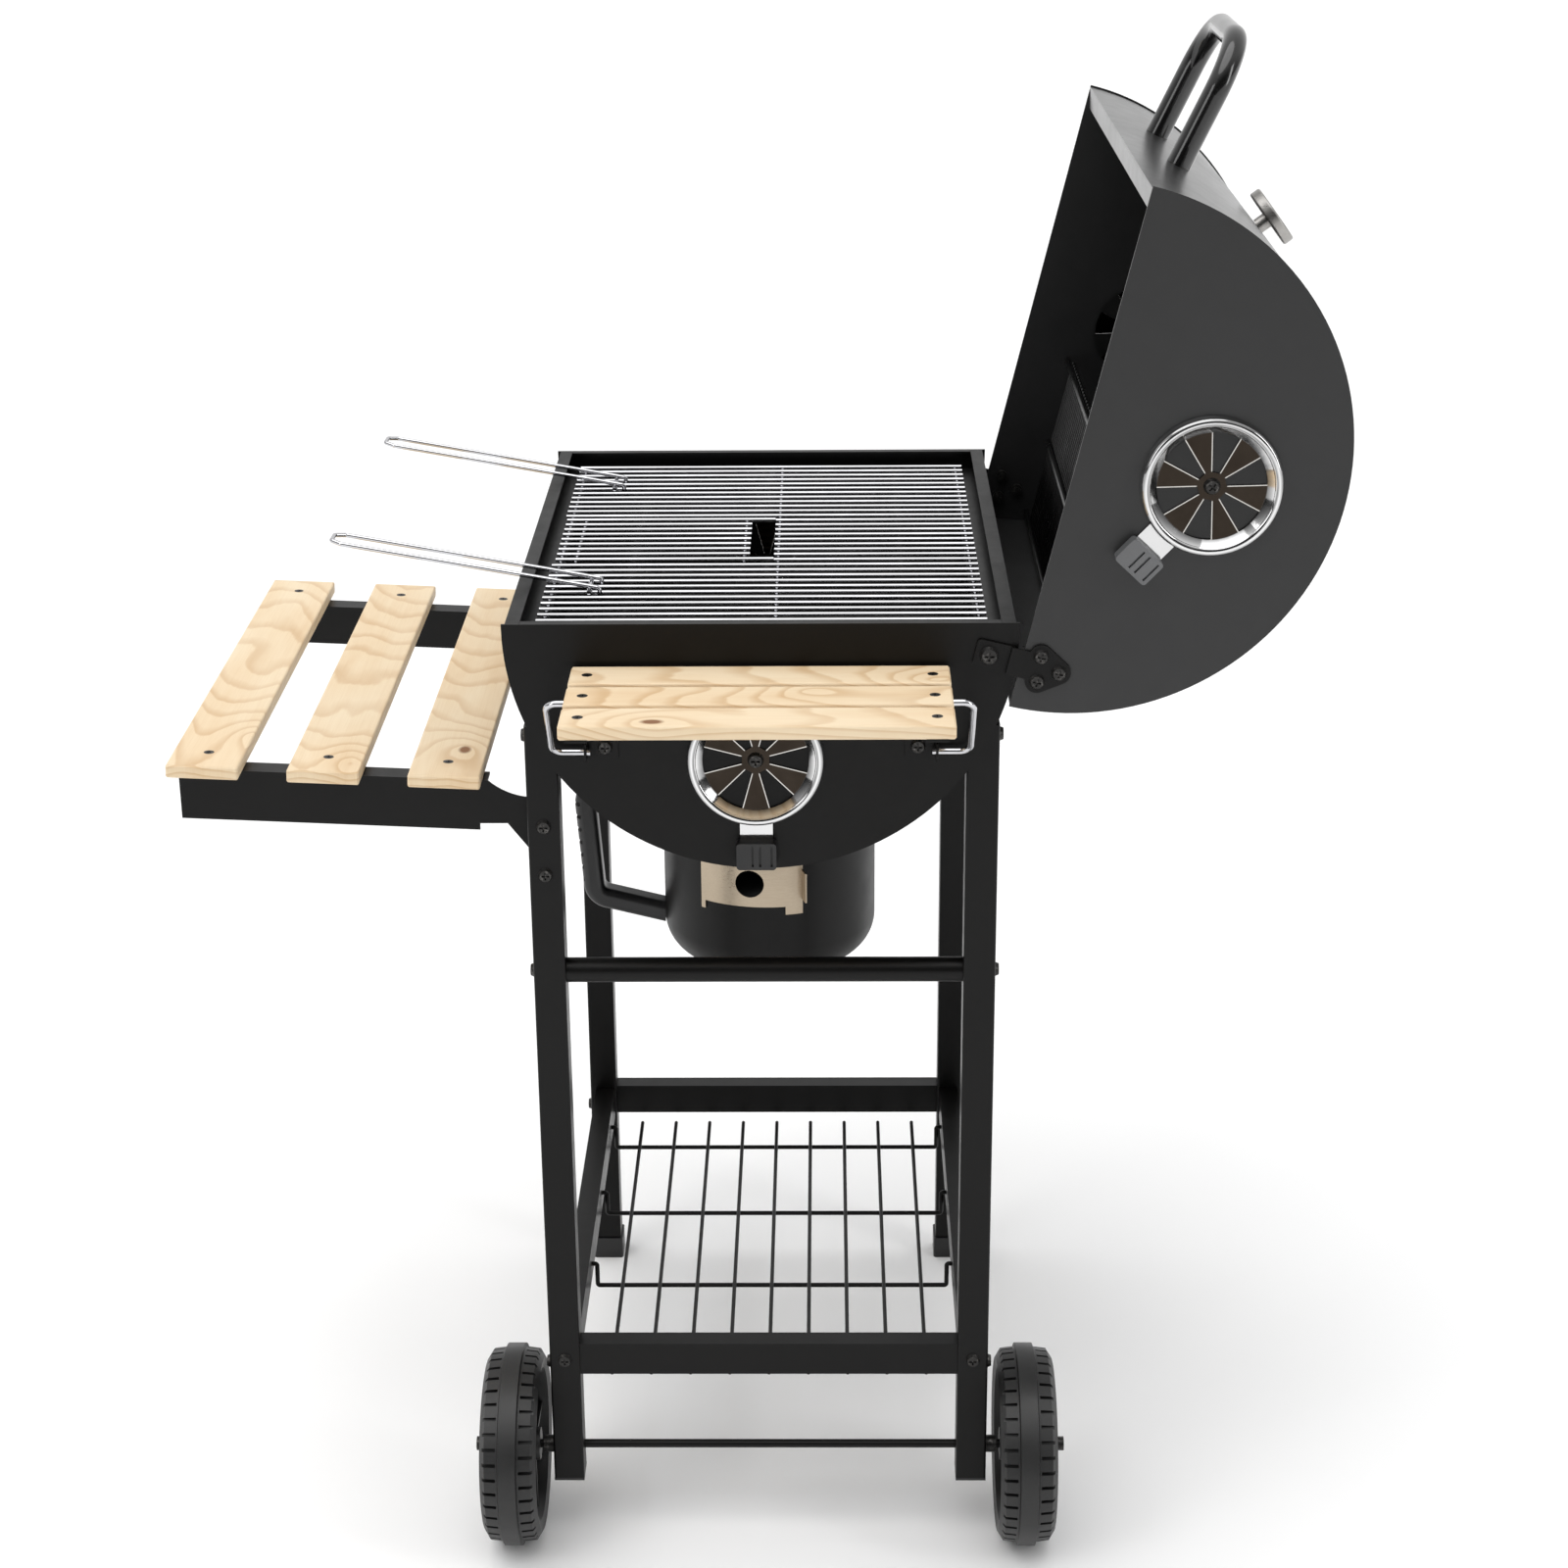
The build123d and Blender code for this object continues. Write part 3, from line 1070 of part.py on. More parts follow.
def pot_handle():
    """Thick moulded D handle on the cook's side of the pot."""
    top_z, low_z = POT_TOP_Z - 28.0, POT_BOTTOM_Z + 36.0
    near = -POT_R + 4.0
    out = -(POT_R + 75.0)
    path = FilletPolyline(
        (0, near, top_z), (0, out, top_z + 6.0), (0, out + 8.0, low_z + 18.0), (0, near, low_z),
        radius=16.0)
    section = Plane(origin=path @ 0, x_dir=(1, 0, 0), z_dir=path % 0) * RectangleRounded(26, 20, 7)
    handle = sweep(section, path=path)
    for k in range(7):
        z = low_z + 34.0 + k * 13.0
        groove = box(-15, 15, out - 14.0, out - 1.5 - 0.35 * k, z, z + 4.0)
        handle = handle - groove
    keep_out = ring_z(POT_BOTTOM_Z - 5, POT_TOP_Z + 20, 0, 0, POT_R + 0.05)
    return handle - keep_out


def pot_damper():
    """Curved sliding plate over the pot's air hole, with two feet and a bent tab."""
    inner = POT_R + GAP
    outer = inner + 1.2
    plate = ring_z(DAMPER_Z[0], DAMPER_Z[1], 0, 0, outer, inner)
    wedge = profile_x_fan(outer + 20, DAMPER_HALF)
    plate = plate & wedge
    hole = ring_x(0, outer + 10, 0, AIR_HOLE_Z, AIR_HOLE_R - 0.5)
    notch = box(0, outer + 10, -44.0, 33.0, DAMPER_Z[0] - 1, DAMPER_Z[0] + 8.0)
    tab = box(inner, outer + 12.0, -0.7, 0.7, AIR_HOLE_Z - 16.0, AIR_HOLE_Z + 13.0)
    plate = plate - hole - notch + tab.rotate(Axis.Z, DAMPER_HALF - 0.3)
    return plate.rotate(Axis.Z, DAMPER_AT)


def profile_x_fan(radius, half_angle):
    """A wedge about Z, symmetric about +X, taller than the pot."""
    a = radians(half_angle)
    r = radius / cos(a)
    face = make_face(Polyline((0, 0), (r * cos(a), -r * sin(a)), (r * cos(a), r * sin(a)), close=True))
    return Pos(0, 0, POT_BOTTOM_Z) * extrude(face, POT_TOP_Z - POT_BOTTOM_Z)


def damper_guide():
    """Folded strip on the pot that holds the damper's top edge."""
    z0, z1 = DAMPER_Z[1] + GAP, DAMPER_Z[1] + 4.0
    strip = ring_z(z0, z1, 0, 0, POT_R + 3.0, POT_R + 0.1)
    lip = ring_z(z0 - 4.0, z1, 0, 0, POT_R + 4.2, POT_R + 2 * GAP + 1.4)
    guide = (strip + lip) & profile_x_fan(POT_R + 20, DAMPER_HALF + DAMPER_TURN)
    return guide.rotate(Axis.Z, DAMPER_AT)


handle_screws = []
for z in (POT_TOP_Z - 28.0, POT_BOTTOM_Z + 38.0):
    handle_screws.append(fix_bolt((0, -POT_IN_R, z), (0, -1, 0), 16.0))
pot, pot_grip = pot_shell(), pot_handle()
for bolt in handle_screws:
    pot = pot - bolt
    pot_grip = pot_grip - bolt
add("ash_pot", pot, POT_BODY)
add("ash_pot_handle", pot_grip, POT_BODY)
add("ash_pot_screws", as_group(handle_screws), POT_BODY)
add("ash_pot_damper_guide", damper_guide(), POT_BODY)
add("ash_pot_damper", pot_damper(), "ash_pot_damper")

# ---- origin under the middle of the whole grill, and the files ---------------------------
limits = [shape.bounding_box() for shape in nodes.values()]
low = [min(tuple(limit.min)[i] for limit in limits) for i in range(3)]
high = [max(tuple(limit.max)[i] for limit in limits) for i in range(3)]
SHIFT = (-(low[0] + high[0]) / 2, -(low[1] + high[1]) / 2, -low[2])

for name, shape in nodes.items():
    export_step(Pos(*SHIFT) * shape, "parts/" + name + ".step")
print(len(nodes), "pieces; shift", [round(v, 3) for v in SHIFT], "size",
      [round(high[i] - low[i], 1) for i in range(3)])
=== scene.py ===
"""Looks of the barrel charcoal grill: materials, studio and camera. Lengths in metres."""
import bpy
import bmesh
import json
from math import cos, radians, sin
from mathutils import Matrix, Vector


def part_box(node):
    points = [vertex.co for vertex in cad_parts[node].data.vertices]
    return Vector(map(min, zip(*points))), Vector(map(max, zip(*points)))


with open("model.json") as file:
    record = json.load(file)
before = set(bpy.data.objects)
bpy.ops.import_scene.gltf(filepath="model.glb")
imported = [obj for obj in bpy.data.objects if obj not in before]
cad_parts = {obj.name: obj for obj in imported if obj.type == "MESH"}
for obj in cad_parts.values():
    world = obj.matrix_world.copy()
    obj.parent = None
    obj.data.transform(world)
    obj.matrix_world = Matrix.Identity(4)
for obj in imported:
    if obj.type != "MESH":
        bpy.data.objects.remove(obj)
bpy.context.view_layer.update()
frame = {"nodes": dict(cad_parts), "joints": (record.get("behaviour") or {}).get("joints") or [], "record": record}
NODES = frame["nodes"]
JOINTS = {joint["name"]: joint for joint in frame["joints"]}

VENT_OPEN_R = 0.045      # six wedge openings out to this radius
VENT_HUB_R = 0.012       # and in to this one
VENT_RIM = 0.014         # width of the rolled rim around them
BLADE_STEP = 30.0        # degrees between the cut edges of the blades
BOX_VENT_PHASE = 15.0    # angle of one such edge, firebox and lid
LID_VENT_PHASE = 1.4     # turned with the lid and by the angle of its lever
EDGE_W = 0.0010          # width of the painted highlight along a blade's cut edge
SIDE_SLAT_W = 0.045
RING_W = 0.0062          # one growth ring of the pine
KNOT_R = 0.0065


# ---- node helpers ---------------------------------------------------------------------
class Shader:
    """One material and short calls that add and link its nodes."""

    def __init__(self, name):
        self.material = bpy.data.materials.new(name)
        self.material.use_nodes = True
        self.tree = self.material.node_tree
        self.bsdf = self.tree.nodes["Principled BSDF"]

    def node(self, kind, **settings):
        """Add a node and set its options."""
        made = self.tree.nodes.new("ShaderNode" + kind)
        for key, value in settings.items():
            setattr(made, key, value)
        return made

    def link(self, source, target):
        """Link a socket, or set a plain value."""
        if isinstance(source, bpy.types.NodeSocket):
            self.tree.links.new(source, target)
        else:
            target.default_value = source

    def math(self, operation, a, b=0.0, c=0.0):
        """One math node."""
        made = self.node("Math", operation=operation)
        for socket, value in zip(made.inputs, (a, b, c)):
            self.link(value, socket)
        return made.outputs[0]

    def axes(self):
        """Object coordinates, one socket for each of X, Y and Z."""
        split = self.node("SeparateXYZ")
        self.link(self.node("TexCoord").outputs["Object"], split.inputs[0])
        return split.outputs

    def position(self, scale=(1, 1, 1)):
        """Object coordinates, stretched along the axes."""
        mapping = self.node("Mapping")
        self.link(self.node("TexCoord").outputs["Object"], mapping.inputs["Vector"])
        mapping.inputs["Scale"].default_value = scale
        return mapping.outputs[0]

    def noise(self, vector, scale, detail=4.0, rough=0.5):
        """Noise between 0 and 1."""
        made = self.node("TexNoise")
        self.link(vector, made.inputs["Vector"])
        made.inputs["Scale"].default_value = scale
        made.inputs["Detail"].default_value = detail
        made.inputs["Roughness"].default_value = rough
        return made.outputs["Fac"]

    def ramp(self, value, stops):
        """A colour ramp from (place, colour) stops."""
        made = self.node("ValToRGB")
        self.link(value, made.inputs["Fac"])
        elements = made.color_ramp.elements
        while len(elements) < len(stops):
            elements.new(0.5)
        for element, (place, colour) in zip(elements, stops):
            element.position = place
            element.color = (*colour, 1.0) if len(colour) == 3 else colour
        return made.outputs["Color"]

    def spread(self, value, low, high, out_low, out_high):
        """Rescale a value from one range to another, clamped."""
        made = self.node("MapRange")
        for socket, number in zip(made.inputs, (value, low, high, out_low, out_high)):
            self.link(number, socket)
        return made.outputs[0]

    def mix(self, factor, a, b):
        """Mix two colours."""
        made = self.node("Mix", data_type="RGBA")
        self.link(factor, made.inputs[0])
        self.link(a if isinstance(a, bpy.types.NodeSocket) else (*a, 1.0), made.inputs[6])
        self.link(b if isinstance(b, bpy.types.NodeSocket) else (*b, 1.0), made.inputs[7])
        return made.outputs[2]

    def polar(self, centre_y, centre_z):
        """Distance from an axis along X, and the angle round it from +Y towards +Z."""
        axes = self.axes()
        y = self.math("SUBTRACT", axes["Y"], centre_y)
        z = self.math("SUBTRACT", axes["Z"], centre_z)
        reach = self.math("SQRT", self.math("MULTIPLY_ADD", y, y, self.math("MULTIPLY", z, z)))
        return reach, self.math("ARCTAN2", z, y)

    def bump(self, height, strength, distance):
        """Bump from a height, chained on top of an earlier one."""
        made = self.node("Bump")
        made.inputs["Strength"].default_value = strength
        made.inputs["Distance"].default_value = distance
        self.link(height, made.inputs["Height"])
        before = self.bsdf.inputs["Normal"].links
        if before:
            self.link(before[0].from_socket, made.inputs["Normal"])
        self.link(made.outputs[0], self.bsdf.inputs["Normal"])

    def set(self, **values):
        """Set or link inputs of the surface shader; _ stands for a space."""
        for key, value in values.items():
            self.link(value, self.bsdf.inputs[key.replace("_", " ")])


def powder_coat(name, dark, light, rough, shine=0.3, coat=0.0, haze=0.06, vent=None):
    """Powder-coated sheet steel: orange-peel bump, cloudy gloss and faint dust.

    vent is the middle of an air vent (y, z); under its damper disc the paint is darkened as painted shade."""
    s = Shader(name)
    place = s.position()
    cloud = s.noise(place, 3.5, 5.0, 0.6)
    fine = s.noise(place, 60.0, 3.0)
    colour = s.mix(s.spread(cloud, 0.3, 0.7, 0.0, 1.0), dark, light)
    dust = s.spread(s.noise(place, 420.0, 2.0, 0.7), 0.72, 0.80, 0.0, 0.25)
    colour = s.mix(dust, colour, tuple(v * 2.2 + 0.01 for v in light))
    gloss = s.math("ADD", s.spread(cloud, 0.3, 0.7, rough - 0.05, rough + 0.05),
                   s.spread(fine, 0.3, 0.7, -0.03, 0.03))
    if vent:
        # Painted shade: the plate under the damper disc is darkened, seen only through the damper's openings.
        reach, _ = s.polar(*vent)
        colour = s.mix(s.spread(reach, VENT_OPEN_R + 0.003, VENT_OPEN_R, 0.0, 1.0), colour, (0.002,) * 3)
    s.set(Base_Color=colour, Roughness=gloss)
    s.set(Specular_IOR_Level=shine, Coat_Weight=coat, Coat_Roughness=haze)
    s.bump(s.noise(place, 1500.0, 2.0), 0.10, 0.0004)
    s.bump(s.noise(place, 9.0, 2.0), 0.05, 0.004)
    return s.material


def polished_chrome(name, tint, rough):
    """Plated wire or pressing: bright metal with soft waviness and faint haze."""
    s = Shader(name)
    place = s.position()
    haze = s.noise(place, 35.0, 4.0, 0.6)
    colour = s.mix(s.spread(haze, 0.35, 0.75, 0.0, 1.0), tint, tuple(v * 0.82 for v in tint))
    s.set(Base_Color=colour, Metallic=1.0, Roughness=s.spread(haze, 0.3, 0.8, rough, rough + 0.12))
    s.bump(s.noise(place, 140.0, 2.0), 0.05, 0.0006)
    return s.material


def vent_chrome(name, vent, phase):
    """A vent damper: a rolled rim coloured with painted reflection bands, and blades coloured dark as a painted
    reflection.

    vent is its middle (y, z). The cut edges of the blades get a painted highlight; one edge lies at the phase."""
    s = Shader(name)
    place = s.position()
    reach, angle = s.polar(*vent)
    blade = s.spread(reach, VENT_OPEN_R + 0.0004, VENT_OPEN_R - 0.0004, 0.0, 1.0)
    haze = s.noise(place, 38.0, 4.0, 0.6)
    # Painted reflection: the chrome blades are coloured dark brown in place of the dark surroundings they reflect.
    painted_blade_reflection = s.mix(haze, (0.022, 0.017, 0.013), (0.048, 0.038, 0.030))
    # Painted highlight: a thin bright line along each blade's cut edge, placed by angle round the vent.
    step = radians(BLADE_STEP)
    turn = s.math("FRACT", s.math("DIVIDE", s.math("SUBTRACT", angle, radians(phase)), step))
    off = s.math("MULTIPLY", s.math("MINIMUM", turn, s.math("SUBTRACT", 1.0, turn)), step)
    painted_edge_highlight = s.spread(s.math("MULTIPLY", off, reach), EDGE_W, EDGE_W * 0.6, 0.0, 1.0)
    painted_edge_highlight = s.math("MULTIPLY", painted_edge_highlight, s.spread(reach, VENT_HUB_R, VENT_HUB_R + 0.001, 0.0, 1.0))
    painted_blade_reflection = s.mix(painted_edge_highlight, painted_blade_reflection, (0.62, 0.60, 0.57))
    profile = s.spread(reach, VENT_OPEN_R, VENT_OPEN_R + VENT_RIM, 0.0, 1.0)
    # Painted reflection: the ramp paints bright and dark bands across the rolled rim in place of reflected studio
    # light.
    tone = s.ramp(profile, [(0.0, (0.10,) * 3), (0.22, (0.42,) * 3), (0.42, (0.80,) * 3),
                            (0.53, (0.16,) * 3), (0.66, (0.86,) * 3), (0.82, (0.24,) * 3),
                            (0.95, (0.70,) * 3)])
    bright = s.mix(s.spread(haze, 0.35, 0.75, 0.0, 0.35), tone, (0.60, 0.60, 0.61))
    s.set(Base_Color=s.mix(blade, bright, painted_blade_reflection), Metallic=1.0)
    s.set(Roughness=s.spread(haze, 0.3, 0.8, 0.06, 0.16))
    s.bump(s.noise(place, 140.0, 2.0), 0.05, 0.0006)
    return s.material


def brushed_steel(name, stretch, low_tone, high_tone):
    """Stainless sheet with grinding lines along one axis."""
    s = Shader(name)
    place = s.position(stretch)
    lines = s.noise(place, 900.0, 3.0, 0.7)
    cloud = s.noise(s.position(), 22.0, 3.0)
    colour = s.mix(lines, low_tone, high_tone)
    rough = s.math("ADD", s.spread(lines, 0.3, 0.7, 0.22, 0.36),
                   s.spread(cloud, 0.3, 0.7, 0.0, 0.1))
    s.set(Base_Color=colour, Metallic=1.0, Roughness=rough)
    s.bump(lines, 0.15, 0.0003)
    return s.material


def moulded_plastic(name, colour, rough):
    """Moulded plastic: fine spark-erosion texture and slightly shiny wear."""
    s = Shader(name)
    place = s.position()
    cloud = s.noise(place, 18.0, 4.0)
    tone = s.mix(cloud, colour, tuple(v * 1.5 + 0.004 for v in colour))
    s.set(Base_Color=tone, Roughness=s.spread(cloud, 0.3, 0.7, rough - 0.08, rough + 0.08))
    s.bump(s.noise(place, 1800.0, 2.0), 0.25, 0.0003)
    return s.material


def dark_steel(name):
    """Black-oxide screws, worn bright on their edges."""
    s = Shader(name)
    place = s.position()
    wear = s.spread(s.noise(place, 260.0, 4.0, 0.7), 0.52, 0.72, 0.0, 0.7)
    s.set(Base_Color=s.mix(wear, (0.035, 0.034, 0.033), (0.20, 0.19, 0.18)), Metallic=0.8)
    s.set(Roughness=s.spread(wear, 0.0, 0.7, 0.42, 0.28))
    s.bump(s.noise(place, 700.0, 3.0), 0.15, 0.0003)
    return s.material


def heat_steel(name):
    """Plain steel rods dulled by heat and ash."""
    s = Shader(name)
    place = s.position()
    soot = s.noise(place, 30.0, 6.0, 0.7)
    colour = s.ramp(soot, [(0.3, (0.03, 0.03, 0.03)), (0.6, (0.09, 0.085, 0.08)),
                           (0.8, (0.20, 0.19, 0.18))])
    s.set(Base_Color=colour, Metallic=0.6, Roughness=s.spread(soot, 0.2, 0.8, 0.45, 0.7))
    s.bump(s.noise(place, 500.0, 4.0), 0.3, 0.0006)
    return s.material


def pine(name, along, across, pitch, first, seed):
    """Flat-sawn pine: growth rings met at a shallow angle, fibres, pores and a few knots.

    along and across are axis letters; a board's number comes from its place across."""
    s = Shader(name)
    axes = s.axes()
    length, width, height = axes[along], axes[across], axes["Z"]
    board = s.math("FLOOR", s.math("DIVIDE", s.math("SUBTRACT", width, first), pitch))
    centre = s.math("ADD", s.math("MULTIPLY", s.math("ADD", board, 0.5), pitch), first)
    local = s.math("SUBTRACT", width, centre)

    def wave(rate, start):
        """A different number between -1 and 1 for each board."""
        return s.math("SINE", s.math("MULTIPLY_ADD", board, rate, start))

    shift = s.math("MULTIPLY", wave(2.4, seed), 0.022)
    drift = s.math("MULTIPLY", wave(4.7, seed * 3.0), 0.20)

    def place_for(stretch_along, stretch_across):
        """Stretched coordinates that start afresh on each board."""
        joined = s.node("CombineXYZ")
        s.link(s.math("MULTIPLY", length, stretch_along), joined.inputs[0])
        s.link(s.math("MULTIPLY", width, stretch_across), joined.inputs[1])
        s.link(s.math("MULTIPLY_ADD", board, 3.7, height), joined.inputs[2])
        return joined.outputs[0]

    # Rings are circles round a heart line that sinks along the board, bent by noise.
    bend = s.noise(place_for(3.2, 9.0), 1.0, 2.0, 0.5)
    wobble = s.noise(place_for(9.0, 40.0), 1.0, 3.0, 0.6)
    side = s.math("ADD", s.math("SUBTRACT", local, shift),
                  s.math("MULTIPLY_ADD", bend, 0.05, -0.025))
    depth = s.math("MULTIPLY_ADD", s.math("ADD", length, drift), 0.11, height)
    arch = s.math("MULTIPLY_ADD", bend, 0.035, 0.012)
    depth = s.math("ADD", depth, arch)
    radius = s.math("SQRT", s.math("ADD", s.math("MULTIPLY", side, side),
                                   s.math("MULTIPLY", depth, depth)))
    radius = s.math("MULTIPLY_ADD", wobble, 0.0032, radius)
    # Each board may have one knot, and its rings swell round it.
    knot_along = s.math("MULTIPLY_ADD", wave(7.1, seed), 0.16, 0.02)
    knot_far = s.math("SUBTRACT", length, knot_along)
    knot_side = s.math("SUBTRACT", local, s.math("MULTIPLY", shift, 0.6))
    long_square = s.math("MULTIPLY", s.math("MULTIPLY", knot_far, knot_far), 0.35)
    knot = s.math("SQRT", s.math("ADD", long_square, s.math("MULTIPLY", knot_side, knot_side)))
    swirl = s.spread(knot, 0.0, 0.055, 1.0, 0.0)
    radius = s.math("MULTIPLY_ADD", s.math("MULTIPLY", swirl, swirl), 0.016, radius)
    ring = s.math("FRACT", s.math("DIVIDE", radius, RING_W))
    late = s.ramp(ring, [(0.0, (0.02,) * 3), (0.55, (0.12,) * 3), (0.86, (0.95,) * 3),
                         (0.93, (0.9,) * 3), (1.0, (0.02,) * 3)])
    patch = s.noise(place_for(5.0, 22.0), 1.0, 3.0, 0.6)
    pale = s.ramp(patch, [(0.3, (0.84, 0.70, 0.50)), (0.6, (0.80, 0.63, 0.42)),
                          (0.8, (0.74, 0.54, 0.33))])
    amount = s.math("MULTIPLY", late, s.spread(patch, 0.25, 0.75, 0.35, 0.85))
    colour = s.mix(amount, pale, (0.60, 0.385, 0.19))
    fibre = s.noise(place_for(14.0, 900.0), 1.0, 4.0, 0.7)
    colour = s.mix(s.spread(fibre, 0.45, 0.75, 0.0, 0.25), colour, (0.64, 0.44, 0.24))
    heart = s.spread(knot, KNOT_R - 0.003, KNOT_R, 1.0, 0.0)
    has_knot = s.math("GREATER_THAN", wave(1.9, seed * 5.0), 0.1)
    colour = s.mix(s.math("MULTIPLY", heart, has_knot), colour, (0.24, 0.11, 0.045))
    s.set(Base_Color=colour, Roughness=s.spread(late, 0.0, 1.0, 0.62, 0.45))
    s.set(Specular_IOR_Level=0.35)
    s.bump(fibre, 0.20, 0.0004)
    s.bump(late, 0.12, 0.0005)
    return s.material


# ---- materials by slot ----------------------------------------------------------------
low_side, high_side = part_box("side_slats")
low_inner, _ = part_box("front_slat_inner")
low_outer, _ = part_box("front_slat_outer")
front_pitch = (low_inner.y - low_outer.y) / 2
side_pitch = (high_side.x - low_side.x - SIDE_SLAT_W) / 2
PINE_FRONT = pine("pine_front", "X", "Y", front_pitch, low_outer.y, 0.7)
PINE_SIDE = pine("pine_side", "Y", "X", side_pitch, low_side.x, 2.1)
BOX_TONES = (0.0022, 0.0021, 0.0020), (0.0042, 0.0040, 0.0038)
LID_TONES = (0.0110, 0.0110, 0.0113), (0.0160, 0.0160, 0.0164)
FRAME_TONES = (0.0024, 0.0023, 0.0022), (0.0046, 0.0044, 0.0042)
BOX_SHINE, LID_SHINE = 0.20, 0.50
ALONG_Y = (1.0, 0.03, 1.0)   # stretch of the grinding lines

# By material slot, then by node where one node differs from the rest of its slot.
FINISH = {
    "box_paint": powder_coat("box_paint", *BOX_TONES, 0.40, BOX_SHINE),
    "lid_paint": powder_coat("lid_paint", *LID_TONES, 0.34, LID_SHINE),
    "lid_sheet": powder_coat("lid_sheet", *LID_TONES, 0.32, shine=0.80, coat=0.6, haze=0.30),
    "frame_paint": powder_coat("frame_paint", *FRAME_TONES, 0.36, shine=0.20),
    "gloss_black": powder_coat("gloss_black", (0.001,) * 3, (0.002,) * 3, 0.20,
                               shine=0.35, coat=0.8, haze=0.04),
    "chrome": polished_chrome("chrome", (0.62, 0.62, 0.64), 0.05),
    "stainless": brushed_steel("stainless", ALONG_Y, (0.26, 0.25, 0.24), (0.48, 0.47, 0.45)),
    "pot_plate": brushed_steel("pot_plate", ALONG_Y, (0.36, 0.295, 0.22), (0.50, 0.42, 0.32)),
    # The warming rack is plated wire tinted near black, as painted shade for its place inside the grill.
    "rack": polished_chrome("rack", (0.05, 0.05, 0.05), 0.26),
    "black_plastic": moulded_plastic("black_plastic", (0.006, 0.006, 0.0065), 0.40),
    "grey_plastic": moulded_plastic("grey_plastic", (0.095, 0.097, 0.100), 0.34),
    "wheel_plastic": moulded_plastic("wheel_plastic", (0.0085, 0.0085, 0.0085), 0.46),
    "dark_screw": dark_steel("dark_screw"),
    "charcoal_iron": heat_steel("charcoal_iron"),
}
SINGLE = {
    "warming_rack": FINISH["rack"],
    "ash_pot_damper": FINISH["pot_plate"],
    "lid_shell": FINISH["lid_sheet"],
    "front_slat_inner": PINE_FRONT,
    "front_slat_middle": PINE_FRONT,
    "front_slat_outer": PINE_FRONT,
    "side_slats": PINE_SIDE,
}
for owner, tones, shine, phase in (("firebox", BOX_TONES, BOX_SHINE, BOX_VENT_PHASE),
                                   ("lid", LID_TONES, LID_SHINE, LID_VENT_PHASE)):
    for side in ("right", "left"):
        _, vent_y, vent_z = JOINTS[owner + "_vent_turn_" + side]["pos_m"]
        damper, plate = owner + "_damper_" + side, owner + "_end_" + side
        SINGLE[damper] = vent_chrome(damper, (vent_y, vent_z), phase)
        SINGLE[plate] = powder_coat(plate, *tones, 0.38, shine, vent=(vent_y, vent_z))

for part in frame["record"]["subparts"]:
    mesh = NODES[part["node"]].data
    mesh.materials.clear()
    mesh.materials.append(SINGLE.get(part["node"]) or FINISH[part["material_slot"]])


# ---- floor, light and camera ----------------------------------------------------------
SKY_TILT = 1.6                    # height counts this much more than the way back
SKY_FROM, SKY_TO = -0.2, 0.9      # where the glow starts and is full
SKY_LOW, SKY_HIGH = 0.05, 0.85    # its strength there
FLOOR_HALF = 60.0


def studio_world():
    """A white world, bright above and behind the grill, dark on the lens side."""
    world = bpy.data.worlds.new("studio")
    bpy.context.scene.world = world
    world.use_nodes = True
    tree = world.node_tree
    split = tree.nodes.new("ShaderNodeSeparateXYZ")
    tree.links.new(tree.nodes.new("ShaderNodeTexCoord").outputs["Generated"], split.inputs[0])
    weigh = tree.nodes.new("ShaderNodeMath")
    weigh.operation = "MULTIPLY_ADD"
    weigh.inputs[1].default_value = SKY_TILT
    tree.links.new(split.outputs["Z"], weigh.inputs[0])
    turn = tree.nodes.new("ShaderNodeMath")
    turn.operation = "MULTIPLY"
    turn.inputs[1].default_value = -1.0
    tree.links.new(split.outputs["X"], turn.inputs[0])
    tree.links.new(turn.outputs[0], weigh.inputs[2])
    glow = tree.nodes.new("ShaderNodeMapRange")
    for socket, value in zip(list(glow.inputs)[1:5], (SKY_FROM, SKY_TO, SKY_LOW, SKY_HIGH)):
        socket.default_value = value
    tree.links.new(weigh.outputs[0], glow.inputs[0])
    tree.links.new(glow.outputs[0], tree.nodes["Background"].inputs["Strength"])
    tree.nodes["Background"].inputs["Color"].default_value = (1.0, 1.0, 1.0, 1.0)


def studio_floor():
    """A pale seamless floor."""
    mesh = bpy.data.meshes.new("floor")
    form = bmesh.new()
    bmesh.ops.create_grid(form, x_segments=1, y_segments=1, size=FLOOR_HALF)
    form.to_mesh(mesh)
    form.free()
    floor = bpy.data.objects.new("floor", mesh)
    bpy.context.scene.collection.objects.link(floor)
    s = Shader("floor")
    tone = s.noise(s.position(), 2.0, 2.0)
    s.set(Base_Color=s.mix(tone, (0.93, 0.93, 0.93), (0.95, 0.95, 0.95)), Roughness=0.8)
    s.set(Specular_IOR_Level=0.2)
    floor.data.materials.append(s.material)


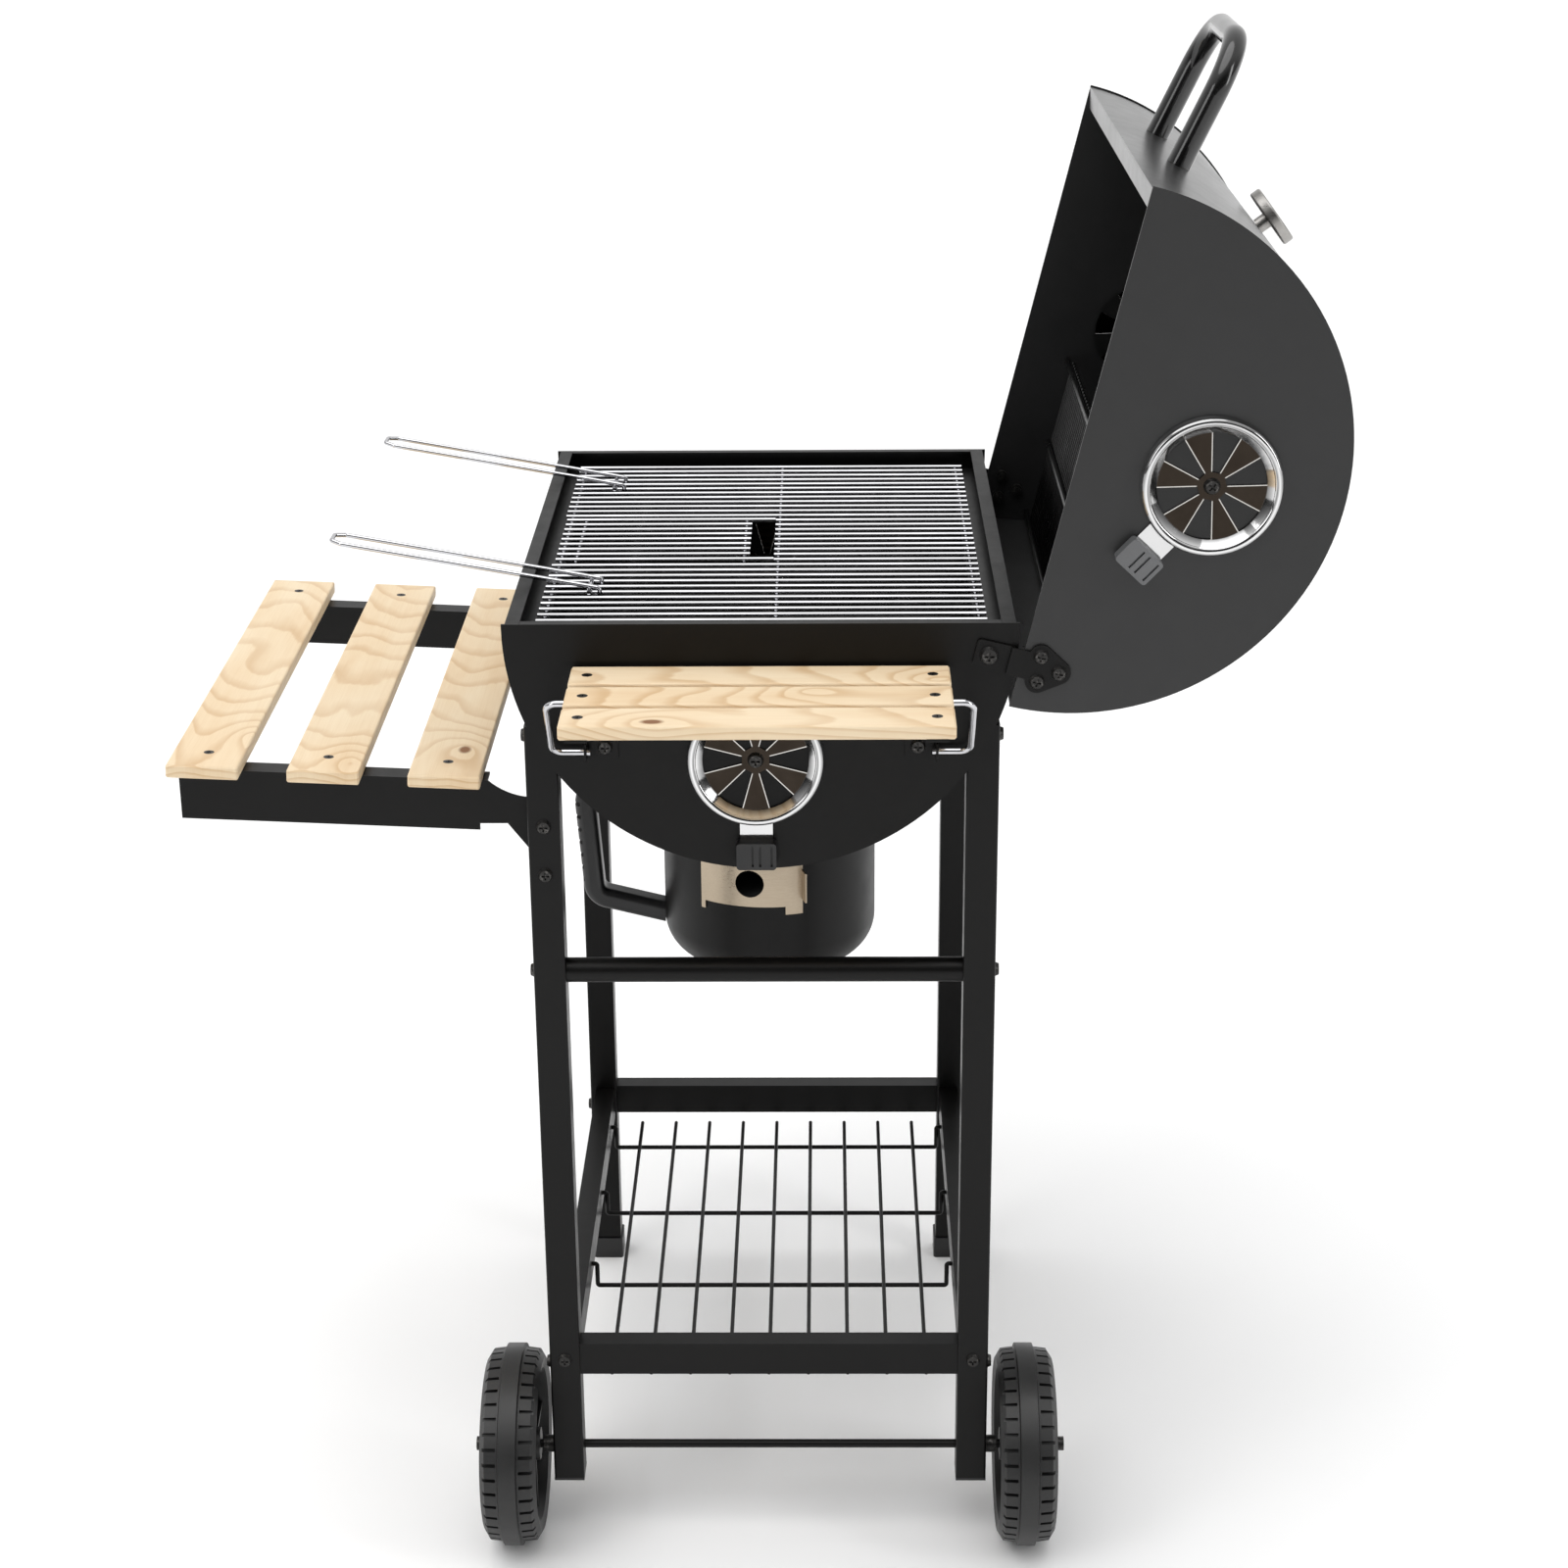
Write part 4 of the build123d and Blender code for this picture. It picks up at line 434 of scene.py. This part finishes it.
def soft_light(name, place, aim, size, power):
    """A rectangular area light pointed at a place."""
    lamp = bpy.data.lights.new(name, "AREA")
    lamp.shape = "RECTANGLE"
    lamp.size, lamp.size_y = size
    lamp.energy = power
    set_lamp(lamp, place, aim)


def broad_sun(name, place, aim, strength, spread):
    """Even light from one side of the sky, soft as a large diffuser."""
    lamp = bpy.data.lights.new(name, "SUN")
    lamp.energy = strength
    lamp.angle = radians(spread)
    set_lamp(lamp, place, aim)


def set_lamp(lamp, place, aim):
    """Put a lamp in the scene, pointed at a place."""
    holder = bpy.data.objects.new(lamp.name, lamp)
    holder.location = place
    holder.rotation_euler = (Vector(aim) - Vector(place)).to_track_quat("-Z", "Y").to_euler()
    bpy.context.scene.collection.objects.link(holder)


LENS_AT = (2.5560, 0.0688, 1.6621)
LENS_PITCH, LENS_YAW, LENS_ROLL = radians(20.98), radians(0.88), radians(-0.48)
LENS_MM, SENSOR_MM = 67.78, 36.0


def product_camera():
    """The side shelf towards the lens, looking slightly down."""
    level = cos(LENS_PITCH)
    ahead = Vector((-cos(LENS_YAW) * level, -sin(LENS_YAW) * level, -sin(LENS_PITCH)))
    right = ahead.cross(Vector((0, 0, 1))).normalized()
    up = right.cross(ahead)
    right_rolled = right * cos(LENS_ROLL) + up * sin(LENS_ROLL)
    up_rolled = up * cos(LENS_ROLL) - right * sin(LENS_ROLL)
    lens = bpy.data.cameras.new("photo_view")
    lens.sensor_width = SENSOR_MM
    lens.lens = LENS_MM
    camera = bpy.data.objects.new("photo_view", lens)
    turn = Matrix((right_rolled, up_rolled, -ahead)).transposed().to_4x4()
    camera.matrix_world = Matrix.Translation(LENS_AT) @ turn
    bpy.context.scene.collection.objects.link(camera)
    bpy.context.scene.camera = camera


studio_world()
studio_floor()
broad_sun("diffuser", (0.8, -0.8, 4.0), (0, 0, 0), 1.55, 60)
soft_light("key", (2.4, -2.6, 2.3), (0, 0, 0.9), (1.2, 2.0), 22)
soft_light("strip", (1.6, 3.0, 1.9), (0, 0.2, 0.9), (0.7, 2.0), 22)
bpy.context.scene.view_settings.view_transform = "Standard"
product_camera()
